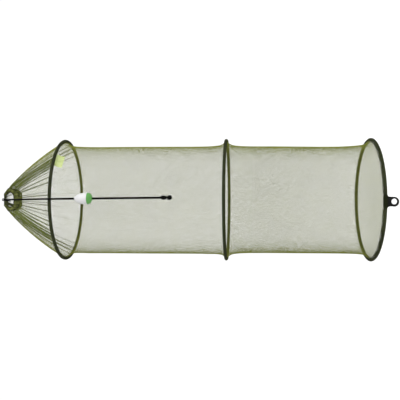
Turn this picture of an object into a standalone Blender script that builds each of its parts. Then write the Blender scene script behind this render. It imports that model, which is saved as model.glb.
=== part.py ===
"""Fishing keepnet: three hoops with a net tube between them, a gathered neck with a drawcord,
a sliding float on the drawcord's tail, and an eye lug on the bottom hoop.

Metres, +Z up. The net hangs from the loop at its neck, whose top is the origin, so everything
lies below z = 0. Azimuth 0 is the front (-Y), where the tail, the float and the lug are, and
it grows towards +X.
"""

import math

import bmesh
import bpy
from mathutils import Matrix, Vector

# ---------------------------------------------------------------- driving dimensions
GAP = 0.0003            # clearance between neighbouring pieces

HOOP_R = 0.1955         # radius of the hoops' centre line
TUBE_R = 0.0040         # plastic hoop tube, outside
BORE_R = 0.0026         # plastic hoop tube, inside
WIRE_R = 0.0017         # steel wire inside the hoop tube
SLEEVE_IN = 0.0043      # net hem round the hoop tube, inside
SLEEVE_OUT = 0.0052     # net hem round the hoop tube, outside
SEGMENTS = 40           # straight pieces that each hoop is built from

Z_TOP = -0.2234         # top hoop's plane
Z_MID = -0.7589         # middle hoop's plane
Z_BOT = -1.2256         # bottom hoop's plane
MID_TILT = math.radians(2.53)   # the middle hoop hangs a little askew, front side up

WAIST_R = 0.1750        # the net tube's radius between the hoops
NET_T = 0.0012          # the net as a plain skin

LUG_X = -0.0050         # the lug sits this far left of the front
EYE_Z = -1.2515
EYE_R = 0.0090          # hole
EYE_OUT = 0.0138        # rim
TAB_HALF = 0.0134
LUG_T = 0.0050
COLLAR_IN = 0.0054
COLLAR_OUT = 0.0072
COLLAR_HALF = 0.0190

CORD_R_UP = 0.00225     # the tail above the top hoop
CORD_R = 0.00275        # the tail below it
TAIL_Y = -0.2045        # where the tail hangs, in front of the hoops
TAIL_TOP = Vector((0.0022, TAIL_Y, Z_TOP))
TAIL_LEAN = 0.01124     # the tail hangs a hair aslant, towards +X for each metre down

FLOAT_TOP = -0.3042
FLOAT_JOIN = -0.3419
FLOAT_END = -0.3572
FLOAT_R = 0.0176

KNOT1 = (-0.5638, -0.5776, 0.0056)    # top, bottom, radius
KNOT2 = (-0.5823, -0.5958, 0.0061)

# ---------------------------------------------------------------- clean start
for o in list(bpy.data.objects):
    bpy.data.objects.remove(o, do_unlink=True)


def material(name, colour, rough, metal=0.0):
    m = bpy.data.materials.new(name)
    m.use_nodes = True
    p = m.node_tree.nodes["Principled BSDF"]
    p.inputs["Base Color"].default_value = (*colour, 1.0)
    p.inputs["Roughness"].default_value = rough
    p.inputs["Metallic"].default_value = metal
    m.diffuse_color = (*colour, 1.0)
    return m


NET = material("olive_net", (0.20, 0.22, 0.10), 0.75)
HEM = material("olive_hem", (0.08, 0.095, 0.035), 0.80)
PVC = material("black_tube", (0.015, 0.017, 0.012), 0.45)
STEEL = material("steel_wire", (0.55, 0.55, 0.56), 0.35, 1.0)
CORD = material("black_cord", (0.012, 0.012, 0.011), 0.80)
PLASTIC = material("black_plastic", (0.012, 0.012, 0.012), 0.40)
WHITE = material("white_foam", (0.80, 0.80, 0.80), 0.45)
GREEN = material("green_foam", (0.10, 0.38, 0.09), 0.45)
TUBE = material("clear_tube", (0.75, 0.78, 0.76), 0.30)
LIME = material("lime_label", (0.55, 0.72, 0.22), 0.70)

# ---------------------------------------------------------------- bodies, as empties on their joints


def empty(name, at, parent=None):
    e = bpy.data.objects.new(name, None)
    e.empty_display_size = 0.03
    bpy.context.scene.collection.objects.link(e)
    if parent is not None:
        e.parent = parent
        e.matrix_parent_inverse = parent.matrix_world.inverted()
    e.location = at
    bpy.context.view_layer.update()
    return e


neck = empty("body_neck", (0, 0, 0))
top_ring = empty("body_top_ring", (0, 0, Z_TOP), neck)
middle_ring = empty("body_middle_ring", (0, 0, Z_MID), top_ring)
bottom_ring = empty("body_bottom_ring", (0, 0, Z_BOT), middle_ring)
lug_body = empty("body_lug", (LUG_X, -HOOP_R, Z_BOT), bottom_ring)
line_body = empty("body_float_line", TAIL_TOP, top_ring)


def on_tail(z):
    return TAIL_TOP + Vector((-TAIL_LEAN * (z - Z_TOP), 0, z - Z_TOP))


float_body = empty("body_float", on_tail(FLOAT_JOIN), line_body)


def place(obj, mat, body, smooth=40):
    """Links a piece whose points are in world coordinates, and hangs it on its body."""
    if obj.name not in bpy.context.scene.collection.objects:
        bpy.context.scene.collection.objects.link(obj)
    if mat is not None:
        obj.data.materials.clear()
        obj.data.materials.append(mat)
    if obj.type == "MESH" and smooth:
        obj.data.shade_smooth()
        obj.data.set_sharp_from_angle(angle=math.radians(smooth))
    obj.parent = body
    obj.matrix_parent_inverse = body.matrix_world.inverted()
    return obj


def mesh_object(name, bm, mat, body, smooth=40):
    bmesh.ops.recalc_face_normals(bm, faces=bm.faces)
    if bm.calc_volume(signed=True) < 0:
        bmesh.ops.reverse_faces(bm, faces=bm.faces)
    me = bpy.data.meshes.new(name)
    bm.to_mesh(me)
    bm.free()
    return place(bpy.data.objects.new(name, me), mat, body, smooth)


def loft(bm, rings, close_path=False, close_section=True, caps=True):
    """Joins a row of rings of points, all with the same count, into one skin."""
    rows = [[bm.verts.new(p) for p in ring] for ring in rings]
    count = len(rows[0])
    pairs = list(zip(rows, rows[1:] + ([rows[0]] if close_path else [])))
    for a, b in pairs[: len(rows) if close_path else len(rows) - 1]:
        for i in range(count if close_section else count - 1):
            j = (i + 1) % count
            bm.faces.new((a[i], a[j], b[j], b[i]))
    if caps and not close_path and close_section:
        bm.faces.new(list(reversed(rows[0])))
        bm.faces.new(rows[-1])
    return rows


# ---------------------------------------------------------------- hoops

STEP = math.tau / SEGMENTS
PHASE = STEP / 2        # a straight piece of hoop lies across the front, and one across the back


def polygon_radius(phi, phase=PHASE):
    """Distance from the axis to the hoop's centre line, which runs straight between its corners."""
    off = (phi - phase) % STEP - STEP / 2
    return HOOP_R * math.cos(STEP / 2) / math.cos(off)


def at(phi, r, z):
    return Vector((r * math.sin(phi), -r * math.cos(phi), z))


def tilt(p, z0, angle):
    """Turns a point about the X axis through (0, 0, z0), front side up."""
    return Matrix.Translation((0, 0, z0)) @ Matrix.Rotation(-angle, 4, "X") @ Matrix.Translation((0, 0, -z0)) @ Vector(p)


def hoop_section(phi, z0, section, phase, angle):
    """section holds (outwards, up) offsets from the hoop's centre line."""
    r = polygon_radius(phi, phase)
    return [tilt(at(phi, r + a, z0 + b), z0, angle) for a, b in section]


def circle_section(radius, sides, turn=0.0):
    return [(radius * math.cos(turn + math.tau * k / sides), radius * math.sin(turn + math.tau * k / sides)) for k in range(sides)]


def azimuths(start, end, phase):
    """start, end and every hoop corner between them."""
    first = math.ceil((start - phase) / STEP + 1e-6)
    found = [start]
    k = first
    while phase + k * STEP < end - 1e-6:
        found.append(phase + k * STEP)
        k += 1
    return found + [end]


def hoop_tube(name, z0, body, phase, seam, angle=0.0):
    """Tube bent into a hoop. Its two ends meet at the seam, a hair apart, so the bore is open there."""
    slit = 0.0008 / HOOP_R
    phis = azimuths(seam + slit, seam + math.tau - slit, phase)
    bm = bmesh.new()
    outer = loft(bm, [hoop_section(p, z0, circle_section(TUBE_R, 6), phase, angle) for p in phis], caps=False)
    inner = loft(bm, [hoop_section(p, z0, circle_section(BORE_R, 6), phase, angle) for p in phis], caps=False)
    for a, b in ((outer[0], inner[0]), (outer[-1], inner[-1])):
        for i in range(6):
            j = (i + 1) % 6
            bm.faces.new((a[i], a[j], b[j], b[i]))
    return mesh_object(name, bm, PVC, body)


def hoop_wire(name, z0, body, phase, angle=0.0):
    bm = bmesh.new()
    loft(bm, [hoop_section(phase + k * STEP, z0, circle_section(WIRE_R, 5), phase, angle) for k in range(SEGMENTS)], close_path=True)
    return mesh_object(name, bm, STEEL, body)


def sleeve_section():
    """The hem's cross-section: nearly a full ring of fabric, open in a slit that faces the axis."""
    half = math.radians(158)
    count = 6
    outer = [(SLEEVE_OUT * math.cos(a), SLEEVE_OUT * math.sin(a)) for a in (-half + 2 * half * k / (count - 1) for k in range(count))]
    inner = [(SLEEVE_IN * math.cos(a), SLEEVE_IN * math.sin(a)) for a in (half - 2 * half * k / (count - 1) for k in range(count))]
    # the corners of the inner line are pushed out so that its flats clear the round tube
    grow = 1 / math.cos(half / (count - 1))
    inner = [(a * grow, b * grow) for a, b in inner]
    outer = [(a * grow, b * grow) for a, b in outer]
    return outer + inner


def hoop_sleeve(name, z0, body, phase, start, end, angle=0.0):
    bm = bmesh.new()
    loft(bm, [hoop_section(p, z0, sleeve_section(), phase, angle) for p in azimuths(start, end, phase)])
    return mesh_object(name, bm, HEM, body)


def ferrule(name, z0, body, angle=0.0):
    """A short collar over the place where the hoop tube's ends meet, at the back."""
    half, r = 0.0110, HOOP_R * math.cos(STEP / 2)
    bm = bmesh.new()
    grow = 1 / math.cos(math.pi / 12)
    rings = []
    for x in (-half, half):
        for radius in (0.0052, SLEEVE_IN * 1.0):
            rings.append([tilt((x, r + radius * grow * math.cos(t), z0 + radius * grow * math.sin(t)), z0, angle) for t in (math.tau * k / 12 for k in range(12))])
    loft(bm, [rings[0], rings[2], rings[3], rings[1]], close_path=True)
    return mesh_object(name, bm, PVC, body)


BACK = math.pi
hoop_tube("top_hoop", Z_TOP, top_ring, PHASE, BACK)
hoop_wire("top_hoop_wire", Z_TOP, top_ring, PHASE)
hoop_sleeve("top_sleeve", Z_TOP, top_ring, PHASE, -BACK + STEP / 2, BACK - STEP / 2)
ferrule("top_ferrule", Z_TOP, top_ring)

hoop_tube("middle_hoop", Z_MID, middle_ring, PHASE, BACK, MID_TILT)
hoop_wire("middle_hoop_wire", Z_MID, middle_ring, PHASE, MID_TILT)
hoop_sleeve("middle_sleeve", Z_MID, middle_ring, PHASE, -BACK + STEP / 2, BACK - STEP / 2, MID_TILT)
ferrule("middle_ferrule", Z_MID, middle_ring, MID_TILT)

LUG_PHI = math.asin(LUG_X / HOOP_R)
BOT_PHASE = LUG_PHI + STEP / 2          # the straight piece that the lug turns on
BOOT_HALF = 0.0210
sleeve_from = LUG_PHI + (BOOT_HALF + 0.0014) / HOOP_R
sleeve_to = LUG_PHI + math.tau - (BOOT_HALF + 0.0014) / HOOP_R
hoop_tube("bottom_hoop", Z_BOT, bottom_ring, BOT_PHASE, LUG_PHI)
hoop_wire("bottom_hoop_wire", Z_BOT, bottom_ring, BOT_PHASE)
hoop_sleeve("bottom_sleeve", Z_BOT, bottom_ring, BOT_PHASE, sleeve_from, sleeve_to)

# ---------------------------------------------------------------- net tube


def flare(d):
    """How far the net stands out from its waist at a distance d from a hoop's plane."""
    return (HOOP_R - WAIST_R) * (0.35 * math.exp(-d / 0.035) + 0.65 * math.exp(-d / 0.008))


EDGE = 0.0058           # the skin starts this far from a hoop's plane, clear of its hem
ROWS = (0.0, 0.004, 0.012, 0.032, 0.090)


def net_wall(name, z_high, z_low, body, tilt_high=0.0, tilt_low=0.0, low_edge=EDGE, sides=32):
    length = z_high - z_low - EDGE - low_edge
    down = list(ROWS) + [length - x for x in reversed(ROWS)]
    bm = bmesh.new()
    skins = []
    for off in (NET_T / 2, -NET_T / 2):
        rows = []
        for s in down:
            d = min(EDGE + s, low_edge + length - s)
            r = (WAIST_R + flare(d) + off) / math.cos(math.pi / sides)
            share = s / length
            row = []
            for k in range(sides):
                phi = math.tau * k / sides
                p = at(phi, r, z_high - EDGE - s)
                lean = (1 - share) * math.tan(tilt_high) + share * math.tan(tilt_low)
                p.z += -p.y * lean
                row.append(p)
            rows.append(row)
        skins.append(rows)
    loft(bm, skins[0] + list(reversed(skins[1])), close_path=True)
    return mesh_object(name, bm, NET, body, 60)


net_wall("upper_net", Z_TOP, Z_MID, top_ring, tilt_low=MID_TILT)
net_wall("lower_net", Z_MID, Z_BOT, middle_ring, tilt_high=MID_TILT, low_edge=0.0074)

# the bottom: a flat net, cut back a little where the lug's boot turns
bm = bmesh.new()
rim = []
for k in range(SEGMENTS):
    phi = BOT_PHASE + k * STEP
    off = abs((phi - LUG_PHI + math.pi) % math.tau - math.pi)
    rim.append((phi, 0.1860 if off < 1.7 * STEP else 0.1893))
loft(bm, [[at(phi, r, Z_BOT + h) for phi, r in rim] for h in (-NET_T / 2, NET_T / 2)])
mesh_object("bottom_net", bm, NET, bottom_ring)

# ---------------------------------------------------------------- neck

# The drawcord's line, as points over a quarter turn from the front to +X. The mouth is hung
# from its two sides, so its front and back hang lower than its sides, close to each other.
CORD_QUARTER = [(0.0000, -0.0092, -0.0497), (0.0140, -0.0092, -0.0487), (0.0230, -0.0090, -0.0430), (0.0270, -0.0085, -0.0345), (0.0252, -0.0078, -0.0235), (0.0212, -0.0062, -0.0155), (0.0174, -0.0026, -0.0106)]
HEM_QUARTER = [(0.0000, -0.0125, -0.0727), (0.0170, -0.0125, -0.0725), (0.0270, -0.0125, -0.0697), (0.0345, -0.0120, -0.0600), (0.0392, -0.0105, -0.0450), (0.0405, -0.0078, -0.0320), (0.0400, -0.0028, -0.0245)]
HEM_RING = 44


def closed_ring(quarter):
    """The whole ring from a quarter of it, mirrored twice."""
    front = [Vector(p) for p in quarter]
    right = front + [Vector((p.x, -p.y, p.z)) for p in reversed(front)]
    left = [Vector((-p.x, p.y, p.z)) for p in reversed(right)]
    ring = right + left
    tidy = []
    for p in ring:
        if not tidy or (p - tidy[-1]).length > 1e-6:
            tidy.append(p)
    if (tidy[0] - tidy[-1]).length < 1e-6:
        tidy.pop()
    return tidy


def smooth_ring(points, count):
    """count points, evenly by number, along a closed Catmull-Rom line through the given ones."""
    n = len(points)
    found = []
    for k in range(count):
        u = k * n / count
        i, t = int(u) % n, u - int(u)
        a, b, c, d = (points[(i + j - 1) % n] for j in range(4))
        found.append(0.5 * ((2 * b) + (c - a) * t + (2 * a - 5 * b + 4 * c - d) * t * t + (3 * b - a - 3 * c + d) * t ** 3))
    return found


cord_ring = smooth_ring(closed_ring(CORD_QUARTER), HEM_RING)
hem_ring = smooth_ring(closed_ring(HEM_QUARTER), HEM_RING)

# the drawcord itself
bm = bmesh.new()
rings = []
for k, p in enumerate(cord_ring):
    along = (cord_ring[(k + 1) % HEM_RING] - cord_ring[k - 1]).normalized()
    down = (hem_ring[k] - p)
    down = (down - along * down.dot(along)).normalized()
    side = along.cross(down)
    rings.append([p + 0.0015 * (math.cos(t) * down + math.sin(t) * side) for t in (math.tau * j / 5 for j in range(5))])
loft(bm, rings, close_path=True)
mesh_object("draw_cord", bm, CORD, neck)

# the neck hem: netting folded over the drawcord, open along its lower edge
bm = bmesh.new()
rings = []
for k, p in enumerate(cord_ring):
    along = (cord_ring[(k + 1) % HEM_RING] - cord_ring[k - 1]).normalized()
    far = hem_ring[k]
    mid = p.lerp(far, 0.45)
    down = (far - p)
    down = (down - along * down.dot(along)).normalized()
    side = along.cross(down)
    if side.dot(p - Vector((0, 0, p.z))) < 0:
        side = -side
    o, i = 0.0027, 0.0020
    rings.append([
        p + o * side, mid + 0.0016 * side, far + 0.0013 * side, far + 0.0005 * side, mid + 0.0008 * side, p + i * side,
        p + 0.7 * i * (side - down), p - i * down, p - 0.7 * i * (side + down),
        p - i * side, mid - 0.0008 * side, far - 0.0005 * side, far - 0.0013 * side, mid - 0.0016 * side, p - o * side,
        p - 0.7 * o * (side + down), p - o * down, p + 0.7 * o * (side - down),
    ])
loft(bm, rings, close_path=True)
mesh_object("neck_hem", bm, HEM, neck)

# the neck net: from the hem out to the top hoop
CONE_SIDES = HEM_RING
bm = bmesh.new()
rows = {1: [], -1: []}
TIMES = (0.0, 0.14, 0.32, 0.52, 0.74, 0.90, 1.0)
for t in TIMES:
    line = []
    for k in range(CONE_SIDES):
        near = hem_ring[k]
        up = (cord_ring[k] - near).normalized()
        near = near - 0.0010 * up
        phi = math.tau * k / CONE_SIDES
        far = at(phi, 0.1930, Z_TOP + 0.0064)
        bulge = (0.002 + 0.011 * math.sin(phi) ** 2) * (4 * t * (1 - t)) ** 0.8
        p = near.lerp(far, t)
        outward = Vector((math.sin(phi), -math.cos(phi), 0.75)).normalized()
        line.append((p + bulge * outward, outward))
    for sign in (1, -1):
        rows[sign].append([p + sign * NET_T / 2 * n for p, n in line])
loft(bm, rows[1] + list(reversed(rows[-1])), close_path=True)
mesh_object("neck_net", bm, NET, neck, 60)


def tube_curve(name, points, radius, mat, body, cyclic=False, resolution=2):
    """A round cord along a smooth line, as a curve with a bevel and filled ends."""
    c = bpy.data.curves.new(name, "CURVE")
    c.dimensions = "3D"
    c.bevel_depth = radius
    c.bevel_resolution = resolution
    c.use_fill_caps = True
    s = c.splines.new("POLY")
    s.points.add(len(points) - 1)
    for p, q in zip(s.points, points):
        p.co = (*q, 1.0)
    s.use_cyclic_u = cyclic
    c.materials.append(mat)
    return place(bpy.data.objects.new(name, c), None, body, 0)


def smooth_line(points, count):
    """count points along an open Catmull-Rom line through the given ones, evenly spaced by length."""
    pts = [Vector(p) for p in points]
    ends = [2 * pts[0] - pts[1]] + pts + [2 * pts[-1] - pts[-2]]
    fine = []
    for i in range(len(pts) - 1):
        a, b, c, d = ends[i:i + 4]
        for k in range(24):
            t = k / 24
            fine.append(0.5 * ((2 * b) + (c - a) * t + (2 * a - 5 * b + 4 * c - d) * t * t + (3 * b - a - 3 * c + d) * t ** 3))
    fine.append(pts[-1])
    run = [0.0]
    for a, b in zip(fine, fine[1:]):
        run.append(run[-1] + (b - a).length)
    found, j = [], 0
    for k in range(count):
        want = run[-1] * k / (count - 1)
        while j < len(fine) - 2 and run[j + 1] < want:
            j += 1
        share = (want - run[j]) / max(run[j + 1] - run[j], 1e-12)
        found.append(fine[j].lerp(fine[j + 1], min(max(share, 0), 1)))
    return found


# hang loop: a small eye of cord standing on the knot that gathers the neck, with one arm of
# cord down to each side of the mouth
bm = bmesh.new()
bmesh.ops.create_uvsphere(bm, u_segments=12, v_segments=8, radius=1.0)
for v in bm.verts:
    v.co = Vector((v.co.x * 0.0050, v.co.y * 0.0045, v.co.z * 0.0042)) + Vector((0, -0.0005, -0.0095))
loop_obj = mesh_object("hang_loop", bm, CORD, neck)


def helper_tube(name, points, radius, sides=6, cyclic=False):
    """A closed tube that a Boolean joins to another piece."""
    bm = bmesh.new()
    pts = [Vector(p) for p in points]
    n = len(pts)
    rings = []
    up = None
    for k, p in enumerate(pts):
        before = pts[k - 1] if (k or cyclic) else p
        after = pts[(k + 1) % n] if (k < n - 1 or cyclic) else p
        along = (after - before).normalized()
        if up is None:
            up = Vector((0, 1, 0)) if abs(along.y) < 0.9 else Vector((1, 0, 0))
        up = (up - along * up.dot(along)).normalized()
        side = along.cross(up)
        rings.append([p + radius * (math.cos(t) * up + math.sin(t) * side) for t in (math.tau * j / sides for j in range(sides))])
    loft(bm, rings, close_path=cyclic)
    o = mesh_object(name, bm, None, neck)
    o.hide_render = True
    o.display_type = "WIRE"
    return o


def join(target, other, operation="UNION"):
    m = target.modifiers.new(operation.title(), "BOOLEAN")
    m.operation = operation
    m.solver = "EXACT"
    m.object = other


eye_line = [Vector((0.0033 * math.sin(t), 0, -0.0013 - 0.0030 - 0.0030 * math.cos(t))) for t in (math.tau * k / 14 for k in range(14))]
join(loop_obj, helper_tube("loop_eye_helper", eye_line, 0.0013, 6, True))
for sx in (1, -1):
    arm = [(0, 0, -0.0095), (sx * 0.0050, 0, -0.0092), (sx * 0.0090, 0, -0.0088), (sx * 0.0132, 0, -0.0084)]
    join(loop_obj, helper_tube("loop_arm_helper_%s" % ("right" if sx > 0 else "left"), arm, 0.0013))

# ---------------------------------------------------------------- the drawcord's tail

upper = [
    (0.0000, -0.0037, -0.0129),
    (0.0005, -0.0500, -0.0610),
    (0.0010, -0.1000, -0.1130),
    (0.0016, -0.1500, -0.1640),
    (0.0021, -0.1930, -0.2060),
    (0.0022, -0.2016, -0.2152),
    (0.0022, TAIL_Y, Z_TOP + 0.0025),
]
tube_curve("tail_upper", smooth_line(upper, 26) + [(0.0022, TAIL_Y, Z_TOP + GAP)], CORD_R_UP, CORD, neck)
tube_curve("tail_lower", smooth_line([TAIL_TOP, on_tail(-0.4), on_tail(KNOT1[0] + GAP)], 26), CORD_R, CORD, line_body)


def turned(name, profile, mat, body, sides=16, bore=None):
    """Turned about the tail's line. profile runs down, as (radius, z). With a bore, it is a ring."""
    def ring(r, z):
        return [on_tail(z) + Vector((r * math.cos(math.tau * k / sides), r * math.sin(math.tau * k / sides), 0)) for k in range(sides)]
    bm = bmesh.new()
    rings = [ring(r, z) for r, z in profile]
    if bore:
        loft(bm, rings + [ring(bore, profile[-1][1]), ring(bore, profile[0][1])], close_path=True)
    else:
        loft(bm, rings)
    return mesh_object(name, bm, mat, body, 35)


# the float: a white nose and a green end on one plastic tube, which slides on the tail
TUBE_BORE = CORD_R + 0.0006
TUBE_OUT = TUBE_BORE + 0.0009
FOAM_BORE = TUBE_OUT + GAP


def nose(s):
    return max(FLOAT_R * (1 - (1 - s) ** 2.4) ** 0.46, FOAM_BORE + 0.0012)


white = [(FOAM_BORE + 0.0012, FLOAT_TOP)] + [(nose(s), FLOAT_TOP + s * (FLOAT_JOIN - FLOAT_TOP)) for s in (0.05, 0.12, 0.22, 0.36, 0.52, 0.72, 1.0)]
turned("float_nose", white, WHITE, float_body, 20, FOAM_BORE)
down = FLOAT_JOIN - GAP - FLOAT_END
green = [(FLOAT_R * math.cos(a) if a < 1.5 else FOAM_BORE + 0.0012, FLOAT_JOIN - GAP - down * math.sin(a)) for a in (0.0, 0.22, 0.45, 0.70, 0.95, 1.20)]
green.append((FOAM_BORE + 0.0012, FLOAT_END))
turned("float_end", green, GREEN, float_body, 20, FOAM_BORE)
turned("float_tube", [(TUBE_OUT, FLOAT_TOP + 0.0010), (TUBE_OUT, FLOAT_END - 0.0010)], TUBE, float_body, 12, TUBE_BORE)



def knot(top, bottom, radius, end):
    """A knot drawn tight: two rounded coils with a slight waist, as (radius, z) going down."""
    h = top - bottom
    return [(0.0032, top), (0.84 * radius, top - 0.10 * h), (radius, top - 0.28 * h), (0.93 * radius, top - 0.50 * h), (radius, top - 0.70 * h), (0.80 * radius, top - 0.91 * h), (end, bottom)]


turned("stopper_knot", knot(*KNOT1, 0.0032), CORD, line_body, 12)
turned("end_knot", [(CORD_R, KNOT1[1] - GAP), (CORD_R, KNOT2[0] - 0.0001)] + knot(*KNOT2, 0.0024), CORD, line_body, 12)

# ---------------------------------------------------------------- the lug

hoop_at_lug = at(LUG_PHI, polygon_radius(LUG_PHI, BOT_PHASE), Z_BOT)


def lug_frame():
    """From the lug's own frame (x along the hoop, y outwards to the back, z up, origin on the hoop) to the world."""
    return Matrix.Translation(hoop_at_lug) @ Matrix.Rotation(LUG_PHI, 4, "Z")


L = lug_frame()
eye_down = Z_BOT - EYE_Z
bm = bmesh.new()
outline = [(TAB_HALF + 0.0040, -0.0045), (TAB_HALF + 0.0012, -0.0090), (TAB_HALF, -0.0125)]
arc_from = math.asin(TAB_HALF / EYE_OUT)
outline += [(EYE_OUT * math.sin(a), -eye_down - EYE_OUT * math.cos(a)) for a in (math.pi - arc_from - (math.pi - arc_from) * k / 11 for k in range(11))]
outline += [(0.0, -eye_down - EYE_OUT)]
full = outline + [(-x, z) for x, z in reversed(outline[:-1])]
loft(bm, [[L @ Vector((x, y, z)) for x, z in full] for y in (-LUG_T / 2, LUG_T / 2)])
lug = mesh_object("eye_lug", bm, PLASTIC, lug_body, 30)


def cylinder_x(name, radius, half, sides):
    bm = bmesh.new()
    loft(bm, [[L @ Vector((x, radius * math.cos(t), radius * math.sin(t))) for t in (math.tau * k / sides for k in range(sides))] for x in (-half, half)])
    o = mesh_object(name, bm, None, lug_body)
    o.hide_render = True
    o.display_type = "WIRE"
    return o


join(lug, cylinder_x("collar_helper", COLLAR_OUT, COLLAR_HALF, 16))
join(lug, cylinder_x("collar_bore_cutter", COLLAR_IN, COLLAR_HALF + 0.01, 16), "DIFFERENCE")
bm = bmesh.new()
loft(bm, [[L @ Vector((EYE_R * math.cos(t), y, -eye_down + EYE_R * math.sin(t))) for t in (math.tau * k / 28 for k in range(28))] for y in (-0.01, 0.01)])
eye_cutter = mesh_object("eye_cutter", bm, None, lug_body)
eye_cutter.hide_render = True
eye_cutter.display_type = "WIRE"
join(lug, eye_cutter, "DIFFERENCE")
# a shallow pocket on each face between the two side ribs
for n, (y0, y1) in enumerate(((-0.01, -LUG_T / 2 + 0.0013), (LUG_T / 2 - 0.0013, 0.01))):
    w = TAB_HALF - 0.0034
    rim = EYE_R + 0.0035
    pocket = [(-w, -0.0096), (w, -0.0096)] + [(x, -eye_down + math.sqrt(rim * rim - x * x)) for x in (w, 0.0070, 0.0035, 0.0, -0.0035, -0.0070, -w)]
    bm = bmesh.new()
    loft(bm, [[L @ Vector((x, y, z)) for x, z in pocket] for y in (y0, y1)])
    cut = mesh_object("pocket_cutter_%d" % n, bm, None, lug_body)
    cut.hide_render = True
    cut.display_type = "WIRE"
    join(lug, cut, "DIFFERENCE")

# the boot: the net's edge sewn round the lug's collar, open where the tab comes out
bm = bmesh.new()
boot_in, boot_out = COLLAR_OUT + 0.0004, COLLAR_OUT + 0.0012
open_half = math.radians(34)
section = []
steps = 9
for k in range(steps):
    a = -math.pi / 2 + open_half + (math.tau - 2 * open_half) * k / (steps - 1)
    section.append((boot_out * math.cos(a), boot_out * math.sin(a)))
grow = 1 / math.cos((math.tau - 2 * open_half) / (steps - 1) / 2)
section = [(a * grow, b * grow) for a, b in section] + [(a * grow * boot_in / boot_out, b * grow * boot_in / boot_out) for a, b in reversed(section)]
loft(bm, [[L @ Vector((x, a, b)) for a, b in section] for x in (-0.0210, 0.0210)])
mesh_object("lug_boot", bm, HEM, lug_body)

# ---------------------------------------------------------------- the label, hanging inside from the top hem
LABEL_PHI = math.radians(42.6)
bm = bmesh.new()
rings = []
for d in (0.0070, 0.0140, 0.0240):
    r = WAIST_R + flare(d) - 0.0026 - 0.0012
    row = []
    for x in (-0.0253, -0.0085, 0.0085, 0.0253):
        row.append((x, r, Z_TOP - d))
    mid = at(LABEL_PHI, 1.0, 0.0)
    side = Vector((math.cos(LABEL_PHI), math.sin(LABEL_PHI), 0))
    front = [mid * math.sqrt(max(r * r - x * x, 0)) + side * x + Vector((0, 0, z)) for x, r, z in row]
    back = [p - mid * 0.0007 for p in front]
    rings.append(front + list(reversed(back)))
loft(bm, rings)
mesh_object("label", bm, LIME, top_ring)
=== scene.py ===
"""Looks of the fishing keepnet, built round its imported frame.

Metres, +Z up. The net hangs from the loop at its neck, whose top is the origin. Azimuth 0 is
the front (-Y) and grows towards +X. The photograph is turned on its side: its right is down.
"""

import math

import bmesh
import bpy
import numpy as np
from mathutils import Matrix, Vector, noise


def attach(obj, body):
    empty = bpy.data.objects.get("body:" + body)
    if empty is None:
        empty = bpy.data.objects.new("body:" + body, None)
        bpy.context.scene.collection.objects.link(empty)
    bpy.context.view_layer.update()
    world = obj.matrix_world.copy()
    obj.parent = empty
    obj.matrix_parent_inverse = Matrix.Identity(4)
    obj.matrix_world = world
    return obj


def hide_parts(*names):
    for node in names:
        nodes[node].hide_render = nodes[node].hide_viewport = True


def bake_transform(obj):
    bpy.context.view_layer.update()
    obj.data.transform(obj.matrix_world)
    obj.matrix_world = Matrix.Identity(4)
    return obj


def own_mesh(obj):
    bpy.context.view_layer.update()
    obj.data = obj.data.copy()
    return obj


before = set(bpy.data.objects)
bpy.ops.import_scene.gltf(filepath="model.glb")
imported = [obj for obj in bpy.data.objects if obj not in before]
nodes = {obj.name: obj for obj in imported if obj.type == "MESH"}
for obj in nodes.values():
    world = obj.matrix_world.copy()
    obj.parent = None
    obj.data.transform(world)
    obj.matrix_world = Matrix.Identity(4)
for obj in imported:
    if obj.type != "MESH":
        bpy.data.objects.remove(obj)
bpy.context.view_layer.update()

TAU = math.tau

# ---------------------------------------------------------------- dimensions, as in the frame
HOOP_R = 0.1952         # a smooth hoop, between the corners and the flats of the frame's one
TUBE_R = 0.0040
Z_TOP, Z_MID, Z_BOT = -0.2234, -0.7589, -1.2256
MID_TILT = math.radians(2.53)
WAIST_R = 0.1750
LUG_X = -0.0050
LUG_PHI = math.asin(LUG_X / 0.1955)
EYE_Z = -1.2515
TAIL_Y = -0.2045
TAIL_TOP = Vector((0.0022, TAIL_Y, Z_TOP))
TAIL_LEAN = 0.01124
FLOAT_TOP, FLOAT_JOIN, FLOAT_END, FLOAT_R = -0.3042, -0.3419, -0.3572, 0.0174
KNOT1 = (-0.5638, -0.5776)
KNOT2 = (-0.5823, -0.5958)

THREAD = 0.00038        # half thickness of the net's twine
CELLS = 225             # meshes round the tube, 4.9 mm wide at its waist
HALF_MESH = 0.0030      # half a mesh along the tube
NECK_TWINES = 556       # half meshes round the neck's fuller net

# ---------------------------------------------------------------- camera
PSI = math.radians(2.823)
camera_data = bpy.data.cameras.new("camera")
camera_data.sensor_fit = "HORIZONTAL"
camera_data.sensor_width = 36.0
camera_data.lens = 52.15
camera_data.clip_start, camera_data.clip_end = 0.05, 60.0
camera = bpy.data.objects.new("camera", camera_data)
bpy.context.scene.collection.objects.link(camera)
right = Vector((0, math.sin(PSI), -math.cos(PSI)))
up = Vector((1, 0, 0))
ahead = Vector((0, math.cos(PSI), math.sin(PSI)))
turn = Matrix((right, up, -ahead)).transposed().to_4x4()
camera.matrix_world = Matrix.Translation((-0.0009, -1.9236, -0.7653)) @ turn
bpy.context.scene.camera = camera


# ---------------------------------------------------------------- mesh tools
def new_object(name, mesh, material=None, smooth=True, sharp=None):
    o = bpy.data.objects.new(name, mesh)
    bpy.context.scene.collection.objects.link(o)
    if material is not None:
        mesh.materials.clear()
        mesh.materials.append(material)
    if smooth:
        mesh.shade_smooth()
        if sharp:
            mesh.set_sharp_from_angle(angle=math.radians(sharp))
    return o


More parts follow.
